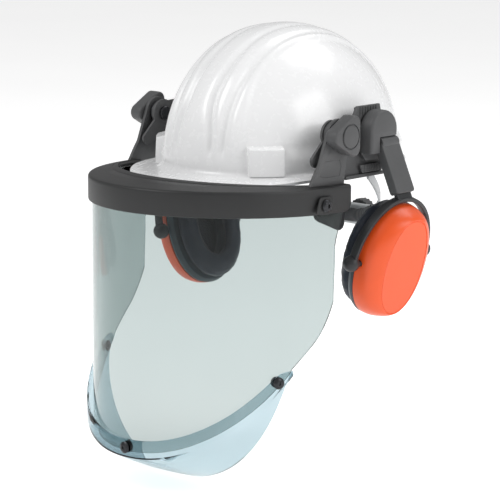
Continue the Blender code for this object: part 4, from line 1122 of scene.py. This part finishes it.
def make_yoke():
    """The hoop over the cup, its two ball ends and the stem that slides in the blade."""
    place = cup_frame()
    steps = 96
    outer = arc((0, 0), 1.0, 0, 180, steps)
    hoop_outline = [(y * (BALL_OFFSET + 0.0022), z * (YOKE_HEIGHT + 0.0022)) for y, z in outer]
    hoop_outline += [(y * (BALL_OFFSET - 0.0022), z * (YOKE_HEIGHT - 0.0022))
                     for y, z in reversed(outer)]
    yoke = plate(hoop_outline, -0.0025, 0.0060, place)
    bevel(yoke, 0.0010, 3, 50)
    for side in (-1, 1):
        mesh_data = bmesh.new()
        bmesh.ops.create_uvsphere(mesh_data, u_segments=48, v_segments=28, radius=BALL_RADIUS)
        centre = place @ Vector((0.0005, side * BALL_OFFSET, 0))
        ball = from_bmesh(mesh_data, Matrix.Translation(centre))
        reach = sorted((CUP_CENTRE.y + side * (CUP_HALF_WIDTH - 0.0036),
                        CUP_CENTRE.y + side * BALL_OFFSET))
        pin = cylinder(0.0030, *reach, cup_pivot(), "Y")
        combine(yoke, [ball, pin], "UNION")
    half = BLADE_WIDTH / 2 - 0.0030
    stem = plate([(-half, -0.0585), (half, -0.0585), (half, -0.014), (-half, -0.014)],
                 -0.0030, 0.0015, blade_frame())
    bevel(stem, 0.0004, 2, 50)
    combine(yoke, [stem], "UNION")
    place_pair(yoke, "cup_yoke", DARK, "yoke", "yoke", 30)


def profile_between(table, steps):
    """A finer profile through (offset, wide, tall) rows, on a Catmull-Rom curve."""
    rows = []
    for i in range(len(table) - 1):
        before = table[max(0, i - 1)]
        after = table[min(len(table) - 1, i + 2)]
        for k in range(steps):
            t = k / steps
            rows.append(tuple(
                0.5 * (2 * b + (c - a) * t + (2 * a - 5 * b + 4 * c - d) * t * t
                       + (3 * b - a - 3 * c + d) * t ** 3)
                for a, b, c, d in zip(before, table[i], table[i + 1], after)))
    rows.append(table[-1])
    return rows


def make_cup():
    """The sound cup: the orange shell with its flat face, and the grey base ring."""
    table = [(0.0, 1.0, 1.0), (0.007, 0.985, 0.988), (0.014, 0.94, 0.95), (0.0185, 0.86, 0.92),
             (0.0222, 0.75, 0.885), (CUP_DEPTH, 0.66, 0.86)]
    profile = profile_between(table, 5)
    profile += [(CUP_DEPTH + 0.0001, 0.645, 0.845), (CUP_DEPTH - 0.0005, 0.640, 0.840),
                (CUP_DEPTH - 0.0005, 0.630, 0.830), (CUP_DEPTH, 0.622, 0.822)]
    mesh_data = bmesh.new()
    rows = vertex_rows(mesh_data, [oval(offset, CUP_HALF_WIDTH * wide, CUP_HALF_HEIGHT * tall)
                                   for offset, wide, tall in profile])
    for row, following in zip(rows, rows[1:]):
        skin(mesh_data, row, following)
    mesh_data.faces.new(rows[-1])
    cup = thicken(mesh_data, Vector((1, 0, 0)), CUP_WALL)
    hinge_line = cup_pivot()
    holes = [cylinder(0.0033, hinge_line.y + s * 0.040 - 0.012, hinge_line.y + s * 0.040 + 0.010,
                      hinge_line, "Y") for s in (-1, 1)]
    combine(cup, holes, "DIFFERENCE")
    place_pair(cup, "sound_cup", ORANGE, "cup", "cup_shell", 24)

    ring = slab((-0.0006, -0.0012, -0.0035, -0.0075, -0.0083),
                ((0.0454, 0.0584), (0.0463, 0.0593), (0.0466, 0.0596), (0.0449, 0.0579),
                 (0.0440, 0.0570)),
                ((0.024, 0.035),) * 5)
    place_pair(ring, "base_ring", RING, "cup", "cup_ring", 30)


def slab(offsets, outer, inner, count=112):
    """An oval frame: outer and inner half sizes at each offset, as one closed ring."""
    loops = [oval(x, *size, count=count) for x, size in zip(offsets, outer)]
    loops += [oval(x, *size, count=count) for x, size in zip(reversed(offsets), inner)]
    return loft(loops, closed=True)


# ---------------------------------------------------------------- soft pieces
def inflate(piece, voxel, cap, pinned):
    """Puff a closed shape up as cloth; pinned says which of its points stay where they are."""
    modify(piece, "REMESH", mode="VOXEL", voxel_size=voxel)
    modify(piece, "SMOOTH", factor=0.5, iterations=10)
    held = piece.vertex_groups.new(name="held")
    held.add([v.index for v in piece.data.vertices if pinned(v.co)], 1.0, "REPLACE")
    start = [v.co.copy() for v in piece.data.vertices]
    cloth = piece.modifiers.new("cloth", "CLOTH")
    cloth.settings.quality = 5
    cloth.settings.mass = 0.3
    cloth.settings.use_pressure = True
    cloth.settings.uniform_pressure_force = 4.0
    cloth.settings.effector_weights.gravity = 0.0
    cloth.settings.vertex_group_mass = "held"
    cloth.collision_settings.use_collision = False
    for number in range(1, 21):
        bpy.context.scene.frame_set(number)
    settle(piece)
    bpy.context.scene.frame_set(1)
    for vertex, before in zip(piece.data.vertices, start):
        move = vertex.co - before
        if move.length > cap:
            vertex.co = before + move * (cap / move.length)
    piece.vertex_groups.clear()
    modify(piece, "SMOOTH", factor=0.5, iterations=6)
    modify(piece, "SUBSURF", levels=1, render_levels=1)


def make_cushions():
    """Ear cushions: a soft ring on each cup, with a welded seam round its outer edge."""
    cushion = slab((-0.0092, -0.0130, -0.0180, -0.0225, -0.0255, -0.0265),
                   ((0.0420, 0.0550), (0.0438, 0.0568), (0.0435, 0.0565), (0.0412, 0.0542),
                    (0.0375, 0.0505), (0.0340, 0.0470)),
                   ((0.0240, 0.0345), (0.0222, 0.0328), (0.0208, 0.0314), (0.0210, 0.0316),
                    (0.0232, 0.0338), (0.0265, 0.0372)), 72)
    back = cup_frame().inverted()
    turn = cup_frame().to_3x3()
    inflate(cushion, 0.004, 0.0035, lambda co: (back @ co).x > -0.0100)
    outward = turn @ Vector((1, 0, 0))
    for vertex in cushion.data.vertices:
        local = back @ vertex.co
        if local.x > -0.0088:
            vertex.co -= outward * (local.x + 0.0088)
        radius = math.hypot(local.y / 0.0455, (local.z + CUP_DROP) / 0.0585)
        if radius > 0.8:
            dip = 0.0009 * math.exp(-((local.x + 0.0215) / 0.0011) ** 2)
            out = Vector((0, local.y, local.z)).normalized()
            vertex.co -= turn @ out * dip
            pleat = math.sin(math.atan2(local.z, local.y) * 26)
            vertex.co += turn @ out * 0.00022 * pleat * smooth(-local.x, 0.016, 0.022)
    for piece in place_pair(cushion, "soft_cushion", VINYL, "cup",
                            "ear_cushion", 60):
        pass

    foam = loft([oval(offset, wide, tall) for offset, wide, tall in
                 ((0.0010, 0.0365, 0.0465), (0.0022, 0.0378, 0.0478), (0.0055, 0.0376, 0.0476),
                  (0.0080, 0.0368, 0.0468), (0.0090, 0.0350, 0.0450))])
    for piece in place_pair(foam, "damping_foam", FOAM, "cup", "cup_foam", 60):
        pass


def hoop_point(angle, half_width, half_length, z):
    """A point on an oval around the head; angle 0 is the front."""
    return Vector((half_width * math.sin(angle), -half_length * math.cos(angle), z))


def hoop(start, end, steps, half_width, half_length, thickness, low, high, corner=0.0006):
    """A band around the head with rounded edges; low and high are functions of the angle."""
    rings = []
    for i in range(steps + 1):
        angle = start + (end - start) * i / steps
        bottom, top = low(angle), high(angle)
        ring = []
        for depth, z in ((0, bottom + corner), (0, top - corner), (corner, top),
                         (thickness - corner, top), (thickness, top - corner),
                         (thickness, bottom + corner), (thickness - corner, bottom),
                         (corner, bottom)):
            ring.append(hoop_point(angle, half_width - depth, half_length - depth, z))
        rings.append(ring)
    return loft(rings)


def nape_height(angle):
    """The middle of the nape strap, which drops towards the back of the head."""
    around = angle if angle <= math.pi else 2 * math.pi - angle
    share = max(0.0, (around - NAPE_START) / (math.pi - NAPE_START))
    return -NAPE_TOP - (NAPE_DROP - NAPE_TOP) * math.sin(share * math.pi / 2)


def radial_cutter(angle, half_width, half_length, z, width, height):
    """A rounded box that cuts through a band at an angle."""
    place = hoop_point(angle, half_width, half_length, z)
    out = Vector((math.sin(angle) / half_width, -math.cos(angle) / half_length, 0)).normalized()
    cutter = plate(arc((-width / 2 + height / 2, 0), height / 2, 90, 270, 8)
                   + arc((width / 2 - height / 2, 0), height / 2, -90, 90, 8), -0.006, 0.006)
    turn = Matrix.Rotation(math.atan2(out.y, out.x), 4, "Z")
    cutter.data.transform(Matrix.Translation(place) @ turn)
    return cutter


def make_headband():
    """The open headband and the nape strap with their slots, and the ratchet."""
    end = math.radians(118)
    band = hoop(-end, end, 140, BAND_HALF_WIDTH, BAND_HALF_LENGTH, BAND_THICKNESS,
                lambda a: -0.010, lambda a: 0.014)
    slots = [radial_cutter(math.radians(s * a), BAND_HALF_WIDTH, BAND_HALF_LENGTH, 0.002,
                           0.016, 0.004) for s in (-1, 1) for a in (66, 82, 98)]
    combine(band, slots, "DIFFERENCE")
    place_piece(band, "head_band", GREY, "helmet", ("headband",), 30)
    width = BAND_HALF_WIDTH + NAPE_OFFSET + BAND_THICKNESS
    length = BAND_HALF_LENGTH + NAPE_OFFSET + BAND_THICKNESS
    strap = hoop(NAPE_START, 2 * math.pi - NAPE_START, 120, width, length, BAND_THICKNESS,
                 lambda a: nape_height(a) - 0.006, lambda a: nape_height(a) + 0.006)
    slots = [radial_cutter(math.radians(180 + s * a), width, length,
                           nape_height(math.radians(180 + s * a)), 0.0022, 0.0022)
             for s in (-1, 1) for a in (34, 38, 42, 46, 50, 54)]
    combine(strap, slots, "DIFFERENCE")
    place_piece(strap, "nape_band", GREY, "nape", ("nape_strap",), 30)
    rear = length + GAP
    centre = Vector((0, 0, -NAPE_DROP))
    housing = box((-0.023, rear, -NAPE_DROP - 0.011), (0.023, rear + 0.010, -NAPE_DROP + 0.011))
    bevel(housing, 0.003, 5)
    combine(housing, [cylinder(0.0034, rear + 0.003, rear + 0.02, centre, "Y")], "DIFFERENCE")
    lines = [box((x, rear + 0.0094, -NAPE_DROP - 0.007),
                 (x + 0.0012, rear + 0.02, -NAPE_DROP + 0.007))
             for x in (-0.0205, -0.0180, 0.0168, 0.0193)]
    combine(housing, lines, "DIFFERENCE")
    place_piece(housing, "ratchet_case", GREY, "nape", ("ratchet_housing",), 30)
    knob_y = rear + 0.010 + GAP
    teeth = 20
    outline = []
    for i in range(8 * teeth):
        angle = math.pi * i / (4 * teeth)
        radius = 0.0144 + 0.0006 * math.cos(teeth * angle)
        outline.append((radius * math.cos(angle), radius * math.sin(angle)))
    quarter_turn = Matrix.Rotation(math.radians(90), 4, "Z")
    knob = plate(outline, knob_y, knob_y + 0.011, Matrix.Translation(centre) @ quarter_turn)
    bevel(knob, 0.0008, 3, 60)
    dish = cylinder(0.0105, knob_y + 0.0098, knob_y + 0.02, centre, "Y", 64)
    combine(knob, [dish], "DIFFERENCE")
    combine(knob, [cylinder(0.0030, rear + 0.004, knob_y + 0.004, centre, "Y")], "UNION")
    place_piece(knob, "ratchet_wheel", BLACK, "ratchet", ("ratchet_knob",), 30)


def make_pads():
    """The sweatband, the nape pad and the crown pad, puffed up as cloth."""
    inside = BAND_THICKNESS + GAP
    turn = math.radians(58)
    width, length = BAND_HALF_WIDTH - inside, BAND_HALF_LENGTH - inside
    pad = hoop(-turn + 0.02, turn - 0.02, 60, width - 0.0006, length - 0.0006, 0.0038,
               lambda a: -0.0120, lambda a: 0.0160, 0.0012)
    inflate(pad, 0.0022, 0.0010, lambda co: math.hypot(co.x / width, co.y / length) > 0.988)
    place_piece(pad, "sweatband", KNIT, "helmet", ("brow_pad",), 60)
    width = BAND_HALF_WIDTH + NAPE_OFFSET - GAP
    length = BAND_HALF_LENGTH + NAPE_OFFSET - GAP
    pad = hoop(math.radians(153), math.radians(207), 36, width - 0.0006, length - 0.0006, 0.0038,
               lambda a: nape_height(a) - 0.0090, lambda a: nape_height(a) + 0.0090, 0.0012)
    inflate(pad, 0.0022, 0.0010, lambda co: math.hypot(co.x / width, co.y / length) > 0.988)
    place_piece(pad, "nape_cushion", KNIT, "nape", ("nape_pad",), 60)
    rings = []
    for radius, z in ((0.0190, 0.0858), (0.0222, 0.0862), (0.0232, 0.0880), (0.0222, 0.0898),
                      (0.0190, 0.0902)):
        rings.append([(radius * math.cos(2 * math.pi * k / 64),
                       radius * math.sin(2 * math.pi * k / 64), z) for k in range(64)])
    pad = loft(rings)
    inflate(pad, 0.0022, 0.0008, lambda co: False)
    place_piece(pad, "crown_cushion", KNIT, "helmet", ("crown_pad",), 60)


def make_cradle():
    """Three webbing straps over the head, with raised edges, and their six clips."""
    for number, degrees in enumerate(STRAP_ANGLES):
        base = hoop_point(math.radians(degrees), STRAP_HALF_WIDTH, STRAP_HALF_LENGTH, 0)
        across = Vector((-base.y, base.x, 0)).normalized() * STRAP_WIDTH / 2
        rise = STRAP_TOP_Z + STRAP_STEP * number - STRAP_BASE_Z
        rings = []
        steps = 110
        section = ((-1.0, 0.25), (-0.985, 0.85), (-0.93, 1.0), (-0.86, 0.88), (0.86, 0.88),
                   (0.93, 1.0), (0.985, 0.85), (1.0, 0.25), (0.985, 0.1), (0.86, 0.0),
                   (-0.86, 0.0), (-0.985, 0.1))
        for i in range(steps + 1):
            along = math.pi * i / steps
            point = base * math.cos(along) + Vector((0, 0, STRAP_BASE_Z + rise * math.sin(along)))
            out = (base.normalized() * math.cos(along) / base.length
                   + Vector((0, 0, math.sin(along) / rise))).normalized()
            rings.append([point + across * a + out * STRAP_THICKNESS * b for a, b in section])
        place_piece(loft(rings), "webbing_%d" % (number + 1), WEBBING, "helmet",
                    ("cradle_strap_%d" % (number + 1),), 40)
    clips = sorted(list(STRAP_ANGLES) + [angle + 180 for angle in STRAP_ANGLES])
    for number, degrees in enumerate(clips):
        base = hoop_point(math.radians(degrees), STRAP_HALF_WIDTH, STRAP_HALF_LENGTH, 0)
        wall_x = SHELL_HALF_WIDTH - SHELL_WALL - 0.0012
        wall_y = SHELL_HALF_LENGTH - SHELL_WALL - 0.0012
        reach = base.length * (1 / math.hypot(base.x / wall_x, base.y / wall_y) - 1)
        outline = [(-0.0028, -0.007), (0.003, -0.007), (0.003, -0.002), (reach - 0.001, 0.0),
                   (reach - 0.001, 0.004), (0.003, 0.0062), (-0.0028, 0.0062)]
        place = (Matrix.Translation(base) @ Matrix.Rotation(math.atan2(base.y, base.x), 4, "Z")
                 @ Matrix.Rotation(math.radians(-90), 4, "Z"))
        clip = plate(outline, -0.010, 0.010, place)
        bevel(clip, 0.0008, 3, 40)
        place_piece(clip, "key_%d" % (number + 1), BLACK, "helmet",
                    ("anchor_clip_%d" % (number + 1),), 30)


# ---------------------------------------------------------------- studio
def area_light(name, place, target, size, power):
    """A soft square lamp that faces a point."""
    lamp = bpy.data.lights.new(name, "AREA")
    lamp.energy = power
    lamp.size = size
    obj = bpy.data.objects.new(name, lamp)
    obj.location = place
    aim = Vector(target) - Vector(place)
    obj.rotation_euler = aim.to_track_quat("-Z", "Y").to_euler()
    bpy.context.scene.collection.objects.link(obj)


def make_studio():
    """A pale flat floor, even light from all round, soft lamps and the camera."""
    mesh_data = bmesh.new()
    bmesh.ops.create_grid(mesh_data, x_segments=8, y_segments=8, size=9.0)
    bmesh.ops.translate(mesh_data, vec=(0, 0, FLOOR_Z), verts=mesh_data.verts)
    floor = from_bmesh(mesh_data)
    floor.name = "studio_floor"
    made, tree, shader = new_material("studio_paper", Roughness=0.9, Emission_Color=(1, 1, 1, 1),
                                      Emission_Strength=0.46)
    paint(tree, shader, ramp(tree, noise(tree, 3.0, 2.0), (0.93, 0.93, 0.93),
                             (0.95, 0.95, 0.95)))
    floor.data.materials.append(made)

    world = bpy.context.scene.world or bpy.data.worlds.new("studio")
    bpy.context.scene.world = world
    world.use_nodes = True
    set_values(world.node_tree.nodes["Background"], {"Color": (1, 1, 1, 1), "Strength": 0.40})
    area_light("key", (-0.7, -1.9, 1.9), (0, -0.05, 0), 1.5, 34)
    area_light("side", (2.3, 0.5, 1.1), (0, 0, 0), 1.4, 26)
    area_light("top", (0.3, 1.3, 2.2), (0, 0, 0), 1.4, 20)

    lens = bpy.data.cameras.new("photo_camera")
    lens.lens = CAMERA_LENS
    lens.sensor_width = 36.0
    lens.clip_end = 50.0
    camera = bpy.data.objects.new("photo_camera", lens)
    right = CAMERA_AHEAD.cross(CAMERA_UP).normalized()
    up = right.cross(CAMERA_AHEAD).normalized()
    turn = Matrix((right, up, -CAMERA_AHEAD.normalized())).transposed().to_4x4()
    camera.matrix_world = Matrix.Translation(CAMERA_PLACE) @ turn
    bpy.context.scene.collection.objects.link(camera)
    bpy.context.scene.camera = camera
    bpy.context.scene.view_settings.view_transform = "Standard"


for make in (make_studio, make_shell, make_bosses, make_brow_band, make_visor_sheet,
             make_chin_guard, make_visor_arms, make_visor_fasteners, make_adapters,
             make_visor_knobs, make_muff_mount, make_yoke, make_cup, make_cushions,
             make_headband, make_pads, make_cradle):
    make()
